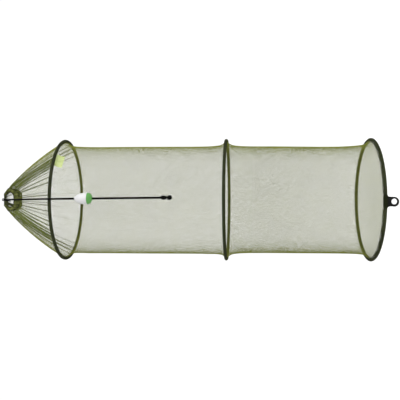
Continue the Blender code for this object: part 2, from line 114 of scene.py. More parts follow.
def mesh_from(name, points, quads, tris=None, uv=None):
    """points (n,3), quads (m,4) of indices, tris (k,3), uv (loops,2) in the same order."""
    me = bpy.data.meshes.new(name)
    points = np.asarray(points, np.float32)
    quads = np.asarray(quads, np.int32).reshape(-1, 4)
    tris = np.zeros((0, 3), np.int32) if tris is None else np.asarray(tris, np.int32).reshape(-1, 3)
    me.vertices.add(len(points))
    me.vertices.foreach_set("co", points.ravel())
    loops = np.concatenate([quads.ravel(), tris.ravel()])
    me.loops.add(len(loops))
    me.loops.foreach_set("vertex_index", loops)
    me.polygons.add(len(quads) + len(tris))
    starts = np.concatenate([np.arange(len(quads)) * 4, len(quads) * 4 + np.arange(len(tris)) * 3])
    me.polygons.foreach_set("loop_start", starts.astype(np.int32))
    if uv is not None:
        layer = me.uv_layers.new(name="OFBake")
        layer.data.foreach_set("uv", np.asarray(uv, np.float32).ravel())
    me.update(calc_edges=True)
    me.validate(clean_customdata=False)
    return me


def unit(v):
    return v / np.maximum(np.linalg.norm(v, axis=-1, keepdims=True), 1e-12)


def strands(paths, normals, radius, sides=3, closed=False, caps=False, most=2.2, turn_by=0.25, thick=0.7):
    """Round twines along many lines at once. paths and normals are (strands, points, 3). At a
    bend the section is widened across, so that the twine keeps its thickness there."""
    paths = np.asarray(paths, float)
    s_count, p_count = paths.shape[:2]
    if closed:
        before, after = np.roll(paths, 1, 1), np.roll(paths, -1, 1)
    else:
        before = np.concatenate([2 * paths[:, :1] - paths[:, 1:2], paths[:, :-1]], 1)
        after = np.concatenate([paths[:, 1:], 2 * paths[:, -1:] - paths[:, -2:-1]], 1)
    d_in, d_out = unit(paths - before), unit(after - paths)
    along = unit(d_in + d_out)
    side = unit(np.cross(along, normals))
    out = unit(np.cross(side, along))
    wide = 1 / np.maximum((d_in * along).sum(-1, keepdims=True), 1 / most)
    radius = np.broadcast_to(np.asarray(radius, float), (s_count, p_count))[..., None]
    turns = TAU * (np.arange(sides) / sides + turn_by)
    rings = paths[:, :, None] + radius[:, :, None] * (
        np.cos(turns)[:, None] * (side * wide)[:, :, None] + thick * np.sin(turns)[:, None] * out[:, :, None]
    )
    points = rings.reshape(-1, 3)
    rows = p_count if closed else p_count - 1
    s, j, k = np.meshgrid(np.arange(s_count), np.arange(rows), np.arange(sides), indexing="ij")
    j2, k2 = (j + 1) % p_count, (k + 1) % sides
    at = lambda jj, kk: (s * p_count + jj) * sides + kk
    quads = np.stack([at(j, k), at(j, k2), at(j2, k2), at(j2, k)], -1).reshape(-1, 4)
    # the bake map: one column for each side of each twine
    columns = s_count * sides
    per_row = max(1, int(math.ceil(math.sqrt(columns * 1.0 * 8 / max(rows, 1)))))
    per_row = columns if rows > 60 else per_row
    bands = int(math.ceil(columns / per_row)) if per_row < columns else 1
    col = s * sides + k
    u0 = (col % per_row + 0.12) / per_row
    u1 = (col % per_row + 0.88) / per_row
    v0 = (col // per_row + 0.02 + 0.96 * j / rows) / bands
    v1 = (col // per_row + 0.02 + 0.96 * (j + 1) / rows) / bands
    uv = np.stack([np.stack([u0, v0], -1), np.stack([u1, v0], -1), np.stack([u1, v1], -1), np.stack([u0, v1], -1)], -2).reshape(-1, 2)
    tris = None
    if caps and not closed:
        first = np.arange(s_count) * p_count * sides
        last = first + (p_count - 1) * sides
        fans = []
        for i in range(1, sides - 1):
            fans.append(np.stack([first, first + i + 1, first + i], -1))
            fans.append(np.stack([last, last + i, last + i + 1], -1))
        tris = np.concatenate(fans)
        spot = np.tile([[0.5 / columns, 0.01], [0.6 / columns, 0.01], [0.5 / columns, 0.012]], (len(tris), 1))
        uv = np.concatenate([uv, spot])
    return points, quads, tris, uv


def join_parts(parts):
    """Several (points, quads, tris, uv) as one, their bake maps side by side."""
    points, quads, tris, uq, ut, base = [], [], [], [], [], 0
    n = len(parts)
    for i, (p, q, t, uv) in enumerate(parts):
        points.append(p)
        quads.append(q + base)
        uv = uv * [1 / n * 0.98, 1.0] + [i / n + 0.01 / n, 0.0]
        uq.append(uv[: len(q) * 4])
        if t is not None:
            tris.append(t + base)
            ut.append(uv[len(q) * 4 :])
        base += len(p)
    return (
        np.concatenate(points),
        np.concatenate(quads),
        np.concatenate(tris) if tris else None,
        np.concatenate(uq + ut),
    )


def twine_object(name, parts, material):
    if isinstance(parts, tuple):
        parts = [parts]
    p, q, t, uv = join_parts(parts) if len(parts) > 1 else parts[0]
    return new_object(name, mesh_from(name, p, q, t, uv), material)


def smooth_closed(points, u):
    """Catmull-Rom through a closed row of points. u is an array, one turn for 0 to 1."""
    pts = np.asarray(points, float)
    n = len(pts)
    x = (np.asarray(u) % 1.0) * n
    i = np.floor(x).astype(int) % n
    t = (x - np.floor(x))[..., None]
    a, b, c, d = (pts[(i + j - 1) % n] for j in range(4))
    return 0.5 * ((2 * b) + (c - a) * t + (2 * a - 5 * b + 4 * c - d) * t**2 + (3 * b - a - 3 * c + d) * t**3)


def smooth_open(points, step):
    """Points a step apart along a Catmull-Rom line through the given ones."""
    pts = np.asarray(points, float)
    ends = np.concatenate([[2 * pts[0] - pts[1]], pts, [2 * pts[-1] - pts[-2]]])
    fine = []
    for i in range(len(pts) - 1):
        a, b, c, d = ends[i : i + 4]
        for k in range(60):
            t = k / 60
            fine.append(0.5 * ((2 * b) + (c - a) * t + (2 * a - 5 * b + 4 * c - d) * t * t + (3 * b - a - 3 * c + d) * t**3))
    fine = np.array(fine + [pts[-1]])
    run = np.concatenate([[0], np.cumsum(np.linalg.norm(np.diff(fine, axis=0), axis=1))])
    count = max(2, int(round(run[-1] / step)) + 1)
    want = np.linspace(0, run[-1], count)
    return np.stack([np.interp(want, run, fine[:, k]) for k in range(3)], 1)


def frames_along(line, first=(0, 0, 1)):
    """(along, side, out) at each point, turned as little as possible from one to the next."""
    line = np.asarray(line, float)
    along = unit(np.gradient(line, axis=0))
    out = np.zeros_like(line)
    o = np.array(first, float)
    for k in range(len(line)):
        o = o - along[k] * (o @ along[k])
        o = o / np.linalg.norm(o)
        out[k] = o
    return along, np.cross(along, out), out


def tube(line, radius, sides=16, relief=None, ends=True, first=(0, 0, 1)):
    """A closed tube along a line. relief(angle, length) multiplies the radius."""
    line = np.asarray(line, float)
    along, side, out = frames_along(line, first)
    run = np.concatenate([[0], np.cumsum(np.linalg.norm(np.diff(line, axis=0), axis=1))])
    radius = np.broadcast_to(np.asarray(radius, float), (len(line),))
    turns = TAU * np.arange(sides) / sides
    r = radius[:, None] * np.ones(sides)[None, :]
    if relief is not None:
        r = r * relief(turns[None, :], run[:, None])
    rings = line[:, None] + r[..., None] * (np.cos(turns)[None, :, None] * side[:, None] + np.sin(turns)[None, :, None] * out[:, None])
    points = rings.reshape(-1, 3)
    n = len(line)
    j, k = np.meshgrid(np.arange(n - 1), np.arange(sides), indexing="ij")
    k2 = (k + 1) % sides
    quads = np.stack([j * sides + k2, j * sides + k, (j + 1) * sides + k, (j + 1) * sides + k2], -1).reshape(-1, 4)
    tris = []
    if ends:
        base = len(points)
        points = np.concatenate([points, line[:1] - along[:1] * radius[0] * 0.35, line[-1:] + along[-1:] * radius[-1] * 0.35])
        for k in range(sides):
            tris.append((base, k, (k + 1) % sides))
            tris.append((base + 1, (n - 1) * sides + (k + 1) % sides, (n - 1) * sides + k))
    return points, quads, np.array(tris) if tris else None


def braid(strands_round, pitch, depth):
    """Relief of a round braid: two families of yarns that wind opposite ways, over and under."""

    def relief(angle, run):
        a = strands_round * (angle + TAU * run / pitch)
        b = strands_round * (angle - TAU * run / pitch)
        over = np.cos((a + b) / 2) * np.cos((a - b) / 2)
        top = np.where(over > 0, np.abs(np.cos(a / 2)), np.abs(np.cos(b / 2)))
        return 1 - depth + depth * top**0.7

    return relief


def revolve(profile, sides, centre):
    """Turned about an upright line. profile is (radius, z), top first; centre(z) is its axis."""
    points, quads, tris = [], [], []
    turns = TAU * np.arange(sides) / sides
    for r, z in profile:
        c = centre(z)
        points.append(np.stack([c[0] + r * np.cos(turns), c[1] + r * np.sin(turns), np.full(sides, z)], 1))
    points = np.concatenate(points)
    n = len(profile)
    j, k = np.meshgrid(np.arange(n - 1), np.arange(sides), indexing="ij")
    k2 = (k + 1) % sides
    quads = np.stack([j * sides + k, (j + 1) * sides + k, (j + 1) * sides + k2, j * sides + k2], -1).reshape(-1, 4)
    return points, quads


def ring_about(profile, sides, centre):
    """As revolve, with the profile closed on itself, as for a piece with a bore."""
    points, quads = revolve(profile, sides, centre)
    n = len(profile)
    k = np.arange(sides)
    k2 = (k + 1) % sides
    more = np.stack([(n - 1) * sides + k, k, k2, (n - 1) * sides + k2], -1)
    return points, np.concatenate([quads, more])


def fix_outwards(o):
    bm = bmesh.new()
    bm.from_mesh(o.data)
    bmesh.ops.recalc_face_normals(bm, faces=bm.faces)
    if bm.calc_volume(signed=True) < 0:
        bmesh.ops.reverse_faces(bm, faces=bm.faces)
    bm.to_mesh(o.data)
    bm.free()
    return o


def polar(phi, r, z):
    phi, r, z = np.broadcast_arrays(phi, r, z)
    return np.stack([r * np.sin(phi), -r * np.cos(phi), z], -1)


def tilted(points, z0, angle):
    """Turned about the X axis through (0, 0, z0), front side up."""
    if not angle:
        return points
    p = np.array(points, float)
    y, z = p[..., 1].copy(), p[..., 2] - z0
    c, s = math.cos(-angle), math.sin(-angle)
    p[..., 1] = y * c - z * s
    p[..., 2] = z0 + y * s + z * c
    return p


# ---------------------------------------------------------------- materials
def node_material(name, rough=0.6, spec=0.5, metal=0.0):
    m = bpy.data.materials.new(name)
    m.use_nodes = True
    t = m.node_tree
    p = t.nodes["Principled BSDF"]
    p.inputs["Roughness"].default_value = rough
    p.inputs["Metallic"].default_value = metal
    p.inputs["Specular IOR Level"].default_value = spec
    return m, t, p


def add(tree, kind, **settings):
    n = tree.nodes.new(kind)
    for key, value in settings.items():
        if hasattr(n, key):
            setattr(n, key, value)
    return n


def noise_node(tree, scale, detail=3.0, rough=0.5, vector=None):
    n = tree.nodes.new("ShaderNodeTexNoise")
    n.inputs["Scale"].default_value = scale
    n.inputs["Detail"].default_value = detail
    n.inputs["Roughness"].default_value = rough
    if vector is not None:
        tree.links.new(vector, n.inputs["Vector"])
    return n.outputs["Fac"]


def ramp_node(tree, fac, stops):
    n = tree.nodes.new("ShaderNodeValToRGB")
    e = n.color_ramp.elements
    while len(e) < len(stops):
        e.new(0.5)
    for item, (at, colour) in zip(e, stops):
        item.position = at
        item.color = (*colour, 1.0)
    tree.links.new(fac, n.inputs["Fac"])
    return n.outputs["Color"]


def place_node(tree):
    return tree.nodes.new("ShaderNodeTexCoord").outputs["Object"]


def scaled(tree, vector, scale):
    n = tree.nodes.new("ShaderNodeVectorMath")
    n.operation = "MULTIPLY"
    n.inputs[1].default_value = scale
    tree.links.new(vector, n.inputs[0])
    return n.outputs[0]


def bump_node(tree, height, shader, distance=0.0005, strength=0.5, before=None):
    n = tree.nodes.new("ShaderNodeBump")
    n.inputs["Distance"].default_value = distance
    n.inputs["Strength"].default_value = strength
    tree.links.new(height, n.inputs["Height"])
    if before is not None:
        tree.links.new(before, n.inputs["Normal"])
    tree.links.new(n.outputs["Normal"], shader.inputs["Normal"])
    return n.outputs["Normal"]


def map_range(tree, value, low, high):
    n = tree.nodes.new("ShaderNodeMapRange")
    n.inputs["To Min"].default_value = low
    n.inputs["To Max"].default_value = high
    tree.links.new(value, n.inputs["Value"])
    return n.outputs["Result"]


def twine_material(name, dark, mid, light, rough=0.72, patch=22.0):
    """Olive nylon twine: slow change of tone along the net, finer mottling by dirt and light, and
    the fine slant of the twine's filaments."""
    m, t, p = node_material(name, rough, 0.08)
    at = place_node(t)
    slow = noise_node(t, patch, 2.0, 0.5, at)
    fine = noise_node(t, 420.0, 2.0, 0.6, at)
    mix = t.nodes.new("ShaderNodeMath")
    mix.operation = "MULTIPLY_ADD"
    mix.inputs[1].default_value = 0.55
    t.links.new(fine, mix.inputs[0])
    part = t.nodes.new("ShaderNodeMath")
    part.operation = "MULTIPLY"
    part.inputs[1].default_value = 0.45
    t.links.new(slow, part.inputs[0])
    t.links.new(part.outputs[0], mix.inputs[2])
    t.links.new(ramp_node(t, mix.outputs[0], [(0.30, dark), (0.52, mid), (0.72, light)]), p.inputs["Base Color"])
    t.links.new(map_range(t, fine, rough - 0.10, rough + 0.14), p.inputs["Roughness"])
    w = t.nodes.new("ShaderNodeTexWave")
    w.wave_type = "BANDS"
    w.bands_direction = "DIAGONAL"
    w.inputs["Scale"].default_value = 900.0
    w.inputs["Distortion"].default_value = 1.5
    t.links.new(at, w.inputs["Vector"])
    bump_node(t, w.outputs["Fac"], p, 0.00015, 0.5)
    return m


NET = twine_material("net_twine", (0.126, 0.142, 0.022), (0.172, 0.190, 0.036), (0.222, 0.240, 0.054))
# a darker copy of the net twine for folded and twisted netting: painted shade
SHADED_FOLD_TWINE = twine_material("net_fold_twine_painted_shade", (0.062, 0.078, 0.015), (0.112, 0.132, 0.034), (0.190, 0.212, 0.062))
NECK = twine_material("neck_twine", (0.128, 0.143, 0.014), (0.182, 0.201, 0.025), (0.238, 0.259, 0.040))
# a much darker copy of the net twine for the hoop hems, the bottom net's edge cord and the mouth's bunches: painted
# shade of the folded and bunched twine
SHADED_HEM_TWINE = twine_material("hem_twine_painted_shade", (0.022, 0.026, 0.010), (0.043, 0.049, 0.020), (0.080, 0.088, 0.038), 0.78)
# a darker copy of the twine for the hem folded over the drawcord, painted shade; its wide spread of large dark and
# light patches is painted pleat shade and painted highlight
SHADED_MOUTH_TWINE = twine_material("mouth_twine_painted_shade_and_highlight", (0.012, 0.015, 0.004), (0.090, 0.100, 0.027), (0.300, 0.320, 0.110), patch=130.0)
# very dark colour for the strip over the bottom hem's outer underside: painted shade
SHADE_STRIP_CLOTH = twine_material("shade_strip_cloth", (0.013, 0.016, 0.006), (0.026, 0.031, 0.012), (0.046, 0.053, 0.022), 0.80)
BOOT = twine_material("boot_cloth", (0.008, 0.010, 0.004), (0.016, 0.020, 0.007), (0.030, 0.036, 0.013), 0.80)


def cord_material():
    m, t, p = node_material("braided_cord", 0.66, 0.02)
    at = place_node(t)
    n = noise_node(t, 900.0, 2.0, 0.6, at)
    slow = noise_node(t, 60.0, 2.0, 0.5, at)
    t.links.new(ramp_node(t, slow, [(0.3, (0.0022, 0.0022, 0.0020)), (0.7, (0.0060, 0.0060, 0.0052))]), p.inputs["Base Color"])
    t.links.new(map_range(t, n, 0.48, 0.78), p.inputs["Roughness"])
    w = t.nodes.new("ShaderNodeTexWave")
    w.inputs["Scale"].default_value = 1400.0
    w.inputs["Distortion"].default_value = 2.0
    t.links.new(at, w.inputs["Vector"])
    bump_node(t, w.outputs["Fac"], p, 0.0001, 0.35)
    return m


CORD = cord_material()


def plastic_material(name, dark, light, rough_low, rough_high, scale=300.0, depth=0.00006, spec=0.5):
    m, t, p = node_material(name, 0.5, spec)
    at = place_node(t)
    slow = noise_node(t, scale * 0.12, 3.0, 0.55, at)
    fine = noise_node(t, scale, 3.0, 0.6, at)
    grain = noise_node(t, scale * 6, 1.0, 0.5, at)
    t.links.new(ramp_node(t, slow, [(0.30, dark), (0.72, light)]), p.inputs["Base Color"])
    t.links.new(map_range(t, fine, rough_low, rough_high), p.inputs["Roughness"])
    bump_node(t, grain, p, depth, 0.5)
    return m


PVC = plastic_material("hoop_tube_plastic", (0.008, 0.010, 0.005), (0.016, 0.020, 0.010), 0.35, 0.55, spec=0.18)
LUGM = plastic_material("lug_plastic", (0.004, 0.004, 0.004), (0.010, 0.010, 0.009), 0.36, 0.56, 420.0, spec=0.10)
# the white foam is given a mid grey, painted shade over the whole nose, so that its lower side reads dark under the
# even white light
WHITE_WITH_PAINTED_SHADE = plastic_material("float_white_painted_shade", (0.470, 0.470, 0.475), (0.525, 0.525, 0.525), 0.36, 0.52, 240.0, 0.00008, spec=0.3)
GREEN = plastic_material("float_green", (0.064, 0.222, 0.046), (0.092, 0.276, 0.064), 0.36, 0.52, 240.0, 0.00008, spec=0.3)
LINER = plastic_material("float_liner", (0.55, 0.57, 0.55), (0.72, 0.74, 0.72), 0.22, 0.38, 300.0, 0.00003)


def steel_material():
    m, t, p = node_material("drawn_steel", 0.35, 0.5, 1.0)
    at = place_node(t)
    n = noise_node(t, 500.0, 3.0, 0.6, at)
    t.links.new(ramp_node(t, n, [(0.3, (0.42, 0.42, 0.43)), (0.7, (0.60, 0.60, 0.61))]), p.inputs["Base Color"])
    t.links.new(map_range(t, n, 0.25, 0.45), p.inputs["Roughness"])
    return m


STEEL = steel_material()


def label_material():
    m, t, p = node_material("label_cloth", 0.6, 0.3)
    at = place_node(t)
    slow = noise_node(t, 45.0, 2.0, 0.5, at)
    t.links.new(ramp_node(t, slow, [(0.30, (0.76, 0.90, 0.36)), (0.70, (0.86, 0.97, 0.50))]), p.inputs["Base Color"])
    w = t.nodes.new("ShaderNodeTexBrick")
    w.inputs["Scale"].default_value = 900.0
    w.inputs["Mortar Size"].default_value = 0.08
    t.links.new(at, w.inputs["Vector"])
    bump_node(t, w.outputs["Fac"], p, 0.0001, 0.4)
    p.inputs["Transmission Weight"].default_value = 0.0
    p.inputs["Sheen Weight"].default_value = 0.1
    return m


LABEL = label_material()

# ---------------------------------------------------------------- the wall nets


def flare(d):
    return (0.1955 - WAIST_R) * (0.35 * np.exp(-d / 0.035) + 0.65 * np.exp(-d / 0.008))


def side_shift(phi, z):
    """How far the hanging net stands off its even waist on the left and right of the view."""
    fade = lambda x, lo, hi: np.clip((x - lo) / (hi - lo), 0, 1)
    left = np.clip(-np.sin(phi), 0, 1) ** 2
    right = np.clip(np.sin(phi), 0, 1) ** 2
    upper_part = fade(Z_TOP - z, 0.03, 0.08) * fade(z - Z_MID, 0.004, 0.06)
    lower_part = fade(Z_MID - z, 0.15, 0.30) * fade(z - Z_BOT, 0.03, 0.10)
    return 0.0030 * left * upper_part - 0.0022 * right * lower_part


def wall_net(name, z_high, z_low, tilt_high, tilt_low, gap, thread, phase, seed, jitter):
    """Knotless netting: zigzag twines side by side, each touching its neighbours in turn. Each
    third of the way round is a piece of its own."""
    high, low = z_high - gap, z_low + gap
    rows = int(round((high - low) / HALF_MESH))
    j = np.arange(rows + 1)
    z = high + (low - high) * j / rows
    d = np.minimum(z_high - z, z - z_low)
    r = np.minimum(WAIST_R + flare(np.maximum(d, 0)), HOOP_R - 0.0053) + 0.0012 * np.exp(-(d - gap) / 0.003)
    s = np.arange(2 * CELLS)[:, None]
    # even twines zigzag to the right of their joint, odd ones to the left
    odd = (j % 2)[None, :]
    joint = np.where(s % 2 == 0, s + odd, s + 1 - odd)
    # no mesh is quite even: each joint sits a little off its place
    chance = np.random.default_rng(seed)
    off = chance.normal(size=(2, 2 * CELLS, rows + 1)).clip(-2.2, 2.2)
    column, row = joint % (2 * CELLS), j[None, :] + 0 * joint
    ends = np.minimum(1, d / 0.012)[None, :]
    phi = phase + TAU * joint / (2 * CELLS)
    phi = phi + ends * (jitter * off[0][column, row] + 0.0008 * np.sin(3 * phi + 9 * z[None, :] + seed)) / WAIST_R
    zz = z[None, :] + ends * (jitter * off[1][column, row] + 0.0007 * np.sin(5 * phi + 13 * z[None, :] + seed))
    bulge = 0.0005 * np.sin(2 * phi + 9 * z[None, :] + seed) * np.minimum(1, d / 0.06)[None, :]
    weave = 0.00016 * np.where((s + j[None, :]) % 2 == 0, 1, -1)
    rr = r[None, :] + bulge + weave + side_shift(phi, zz)
    p = polar(phi, rr, zz)
    share = np.clip((z_high - zz) / (z_high - z_low), 0, 1)
    lean = (1 - share) * math.tan(tilt_high) + share * math.tan(tilt_low)
    p[..., 2] += -p[..., 1] * lean
    n = polar(phi, 1.0, 0.0)
    pieces = []
    for k, part in enumerate(("a", "b", "c")):
        third = slice(k * 2 * CELLS // 3, (k + 1) * 2 * CELLS // 3)
        pieces.append(twine_object(name + "_" + part, strands(p[third], n[third], thread), NET))
    return pieces


upper = wall_net("upper_netting", Z_TOP, Z_MID, 0.0, MID_TILT, 0.0034, THREAD * 0.92, 0.3, 3, 0.00072)
lower = wall_net("lower_netting", Z_MID, Z_BOT, MID_TILT, 0.0, 0.0034, THREAD * 1.04, 0.305, 8, 0.00080)

# ---------------------------------------------------------------- the bottom net


def bottom_net():
    """A round panel of wider netting, its meshes across and along at 45 degrees."""
    pitch = 0.0092
    edge = 0.1868
    parts = []
    count = int(2 * edge / pitch)
    for family in (0, 1):
        a = math.radians(45 if family == 0 else -45) + 0.06
        along = np.array([math.cos(a), math.sin(a)])
        across = np.array([-math.sin(a), math.cos(a)])
        for i in range(-count // 2 - 1, count // 2 + 2):
            off = (i + 0.5) * pitch
            if abs(off) > edge - 0.004:
                continue
            half = math.sqrt(edge * edge - off * off)
            n = max(3, int(round(2 * half / (pitch / 2))))
            t = np.linspace(-half, half, n + 1)
            zig = 0.0010 * np.where(np.arange(n + 1) % 2 == 0, 1, -1)
            xy = along[None] * t[:, None] + across[None] * (off + zig)[:, None]
            rho = np.linalg.norm(xy, axis=1)
            sag = -0.0060 * (1 - (rho / edge) ** 2) - 0.0008
            z = Z_BOT + sag + (0.0003 if family == 0 else -0.0003)
            # clear of the lug's boot
            near = np.exp(-(((xy[:, 0] + 0.006) / 0.026) ** 2 + ((xy[:, 1] + 0.19) / 0.012) ** 2))
            pts = np.stack([xy[:, 0], xy[:, 1] + 0.0035 * near, z], 1)
            parts.append(strands(pts[None], np.tile([0, 0, -1.0], (1, len(pts), 1)), 0.00062, caps=True))
    # the panel's edge cord, laced to the hoop's hem
    phi = np.linspace(0, TAU, 361)[:-1]
    rim = polar(phi, edge + 0.0004 * np.sin(60 * phi), Z_BOT - 0.0008)
    # drawn in past the lug's boot, so the lug can turn
    rim[:, 1] += 0.0060 * np.exp(-((rim[:, 0] + 0.006) / 0.024) ** 4 - ((rim[:, 1] + 0.19) / 0.03) ** 2)
    edge_cord = strands(rim[None], np.tile([0, 0, 1.0], (1, 360, 1)), 0.0013, closed=True)
    # the edge cord is in the darker hem twine, painted shade
    return twine_object("bottom_netting", parts, NET), twine_object("bottom_edge_cord", edge_cord, SHADED_HEM_TWINE)


bottom, bottom_edge = bottom_net()

# ---------------------------------------------------------------- hoops and their hems


def hoop_tube(name, z0, tilt):
    n, sides = 192, 14
    phi = TAU * np.arange(n) / n
    turns = TAU * np.arange(sides) / sides
    a = TUBE_R * np.cos(turns)
    b = TUBE_R * np.sin(turns)
    p = polar(phi[:, None], HOOP_R + a[None, :], z0 + b[None, :] + 0 * phi[:, None])
    p = tilted(p, z0, tilt).reshape(-1, 3)
    j, k = np.meshgrid(np.arange(n), np.arange(sides), indexing="ij")
    j2, k2 = (j + 1) % n, (k + 1) % sides
    q = np.stack([j * sides + k, j2 * sides + k, j2 * sides + k2, j * sides + k2], -1).reshape(-1, 4)
    return fix_outwards(new_object(name, mesh_from(name, p, q), PVC))


def wrap_path(points, count):
    """Evenly spaced (outwards, up) points along a smooth section line."""
    line = smooth_open([(a, b, 0.0) for a, b in points], 0.0002)
    run = np.concatenate([[0], np.cumsum(np.linalg.norm(np.diff(line, axis=0), axis=1))])
    want = np.linspace(0, run[-1], count)
    return np.stack([np.interp(want, run, line[:, 0]), np.interp(want, run, line[:, 1])], 1)


def hem_layer(z0, tilt, section, count, cells, radius, skip=None, phase=0.0):
    """Netting folded round a hoop: zigzag twines that run across the hoop's section."""
    path = wrap_path(section, count)
    s = np.arange(2 * cells)[:, None]
    j = np.arange(count)[None, :]
    odd = j % 2
    spot = np.where(s % 2 == 0, s / 2 + 0.5 * odd, (s + 1) / 2 - 0.5 * odd)
    phi = phase + TAU * spot / cells
    phi = phi + 0.0012 * np.sin(9 * phi + 1.7 * j) / HOOP_R
    r = HOOP_R + path[:, 0][None, :] + 0 * phi
    z = z0 + path[:, 1][None, :] + 0 * phi
    p = tilted(polar(phi, r, z), z0, tilt)
    tang = np.gradient(path, axis=0)
    na, nb = tang[:, 1], -tang[:, 0]
    flip = np.sign((na * path[:, 0] + nb * path[:, 1]).sum())
    n = polar(phi, na[None, :] * flip + 0 * phi, nb[None, :] * flip + 0 * phi)
    n = tilted(n + np.array([0, 0, z0]), z0, tilt) - np.array([0, 0, z0]) if tilt else n
    if skip is not None:
        centre, half = skip
        off = np.abs((phi - centre + math.pi) % TAU - math.pi).min(1)
        keep = off > half
        p, n = p[keep], n[keep]
    return strands(p, unit(n), radius, caps=True)


def seam(z0, tilt, r, z, stitches, swing, radius=0.00055, skip=None):
    """A line of zigzag stitching round the net."""
    n = stitches * 2
    phi = TAU * np.arange(n) / n
    w = np.where(np.arange(n) % 2 == 0, 1.0, -1.0) * swing
    p = tilted(polar(phi, r + 0.0008, z + w), z0, tilt)
    nn = polar(phi, 1.0, 0.0)
    if skip is None:
        return strands(p[None], nn[None], radius, closed=True)
    centre, half = skip
    start = (phi - centre) % TAU
    order = np.argsort(start)
    order = order[(start[order] > half) & (start[order] < TAU - half)]
    return strands(p[order][None], nn[order][None], radius, caps=True)


def hem_section(radius, start, end, lead_in=(), lead_out=()):
    """(outwards, up) points round the tube, from one angle to another, with the net's way in and
    out of the fold."""
    arc = [(radius * math.cos(math.radians(a)), radius * math.sin(math.radians(a))) for a in np.linspace(start, end, 9)]
    return list(lead_in) + arc + list(lead_out)


HEM_CELLS = 150
SKIP = (LUG_PHI, 0.0200 / HOOP_R)


def hoop_hem(name, z0, tilt, radius, start, end, lead_in=(), lead_out=(), skip=None, phase=0.0, seams=(), rows=9):
    """Two folds of the net's edge round the tube, and the stitches that close them."""
    parts = []
    for k, (r, cells, thread) in enumerate(((radius, HEM_CELLS, 0.00062), (radius + 0.0004, int(HEM_CELLS * 0.86), 0.00052))):
        section = hem_section(r, start, end, lead_in, lead_out)
        parts.append(hem_layer(z0, tilt, section, rows + k, cells, thread, skip, phase + 0.011 * k))
    for r, z in seams:
        parts.append(seam(z0, tilt, HOOP_R + r, z0 + z, 230, 0.0009, 0.00045, skip=skip))
    # the hem is in the darker hem twine, painted shade
    return twine_object(name, parts, SHADED_HEM_TWINE)


top_tube = hoop_tube("top_hoop_tube", Z_TOP, 0.0)
mid_tube = hoop_tube("middle_hoop_tube", Z_MID, MID_TILT)
low_tube = hoop_tube("bottom_hoop_tube", Z_BOT, 0.0)
top_hem = hoop_hem("top_hoop_hem", Z_TOP, 0.0, 0.0047, 178, -178, seams=((-0.0057, 0.0023), (-0.0057, -0.0023)), rows=11)
mid_hem = hoop_hem("middle_hoop_hem", Z_MID, MID_TILT, 0.0047, 178, -178, phase=0.02, seams=((-0.0056, 0.0024), (-0.0056, -0.0024)), rows=11)
low_hem = hoop_hem(
    "bottom_hoop_hem", Z_BOT, 0.0, 0.0046, 100, -160, lead_in=((-0.0040, 0.0062), (-0.0026, 0.0054)),
    skip=SKIP, phase=0.04, seams=((-0.0034, 0.0056), (-0.0052, -0.0010)), rows=11,
)


def shade_strip(name, z0, inner, outer, start, end, skip):
    """A dark strip round the outside and underside of a hem, open at the lug: painted shade on the ring's underside."""
    centre, half = skip
    angles = np.radians(np.linspace(start, end, 14))
    section = np.concatenate([np.stack([outer * np.cos(angles), outer * np.sin(angles)], 1), np.stack([inner * np.cos(angles), inner * np.sin(angles)], 1)[::-1]])
    m, n = len(section), 300
    phi = np.linspace(centre + half, centre + TAU - half, n)
    ripple = 1 + 0.012 * np.sin(190 * phi)[:, None]
    p = polar(phi[:, None], HOOP_R + section[None, :, 0] * ripple, z0 + section[None, :, 1] * ripple)
    i, k = np.meshgrid(np.arange(n - 1), np.arange(m), indexing="ij")
    k2 = (k + 1) % m
    quads = [np.stack([i * m + k, i * m + k2, (i + 1) * m + k2, (i + 1) * m + k], -1).reshape(-1, 4)]
    k = np.arange(m // 2 - 1)
    for row in (0, n - 1):
        quads.append(np.stack([row * m + k, row * m + k + 1, row * m + m - 2 - k, row * m + m - 1 - k], -1))
    return fix_outwards(new_object(name, mesh_from(name, p.reshape(-1, 3), np.concatenate(quads)), SHADE_STRIP_CLOTH))


# the strip's dark colour is painted shade on the bottom ring's underside
low_shade_strip = shade_strip("bottom_hoop_shade_strip", Z_BOT, 0.0055, 0.0061, 6, -128, SKIP)


def ferrule(name, z0, tilt):
    """The collar that joins the ends of a hoop's tube, at the back."""
    half = 0.0110
    s = np.array([-1, -0.985, -0.93, -0.6, 0, 0.6, 0.93, 0.985, 1])
    r = np.array([0.0042, 0.0046, 0.00485, 0.0049, 0.0049, 0.0049, 0.00485, 0.0046, 0.0042])
    sides = 20
    turns = TAU * np.arange(sides) / sides
    phi = math.pi + s * half / HOOP_R
    p = polar(phi[:, None], HOOP_R + r[:, None] * np.cos(turns)[None], z0 + r[:, None] * np.sin(turns)[None])
    p = tilted(p, z0, tilt)
    inner = polar(phi[::-1][:, None], HOOP_R + 0.00405 * np.cos(turns)[None], z0 + 0.00405 * np.sin(turns)[None] + 0 * phi[:, None])
    inner = tilted(inner, z0, tilt)
    rings = np.concatenate([p, inner])
    n = len(rings)
    j, k = np.meshgrid(np.arange(n), np.arange(sides), indexing="ij")
    j2, k2 = (j + 1) % n, (k + 1) % sides
    q = np.stack([j * sides + k, j2 * sides + k, j2 * sides + k2, j * sides + k2], -1).reshape(-1, 4)
    return fix_outwards(new_object(name, mesh_from(name, rings.reshape(-1, 3), q), PVC))


top_collar = ferrule("top_collar", Z_TOP, 0.0)
mid_collar = ferrule("middle_collar", Z_MID, MID_TILT)

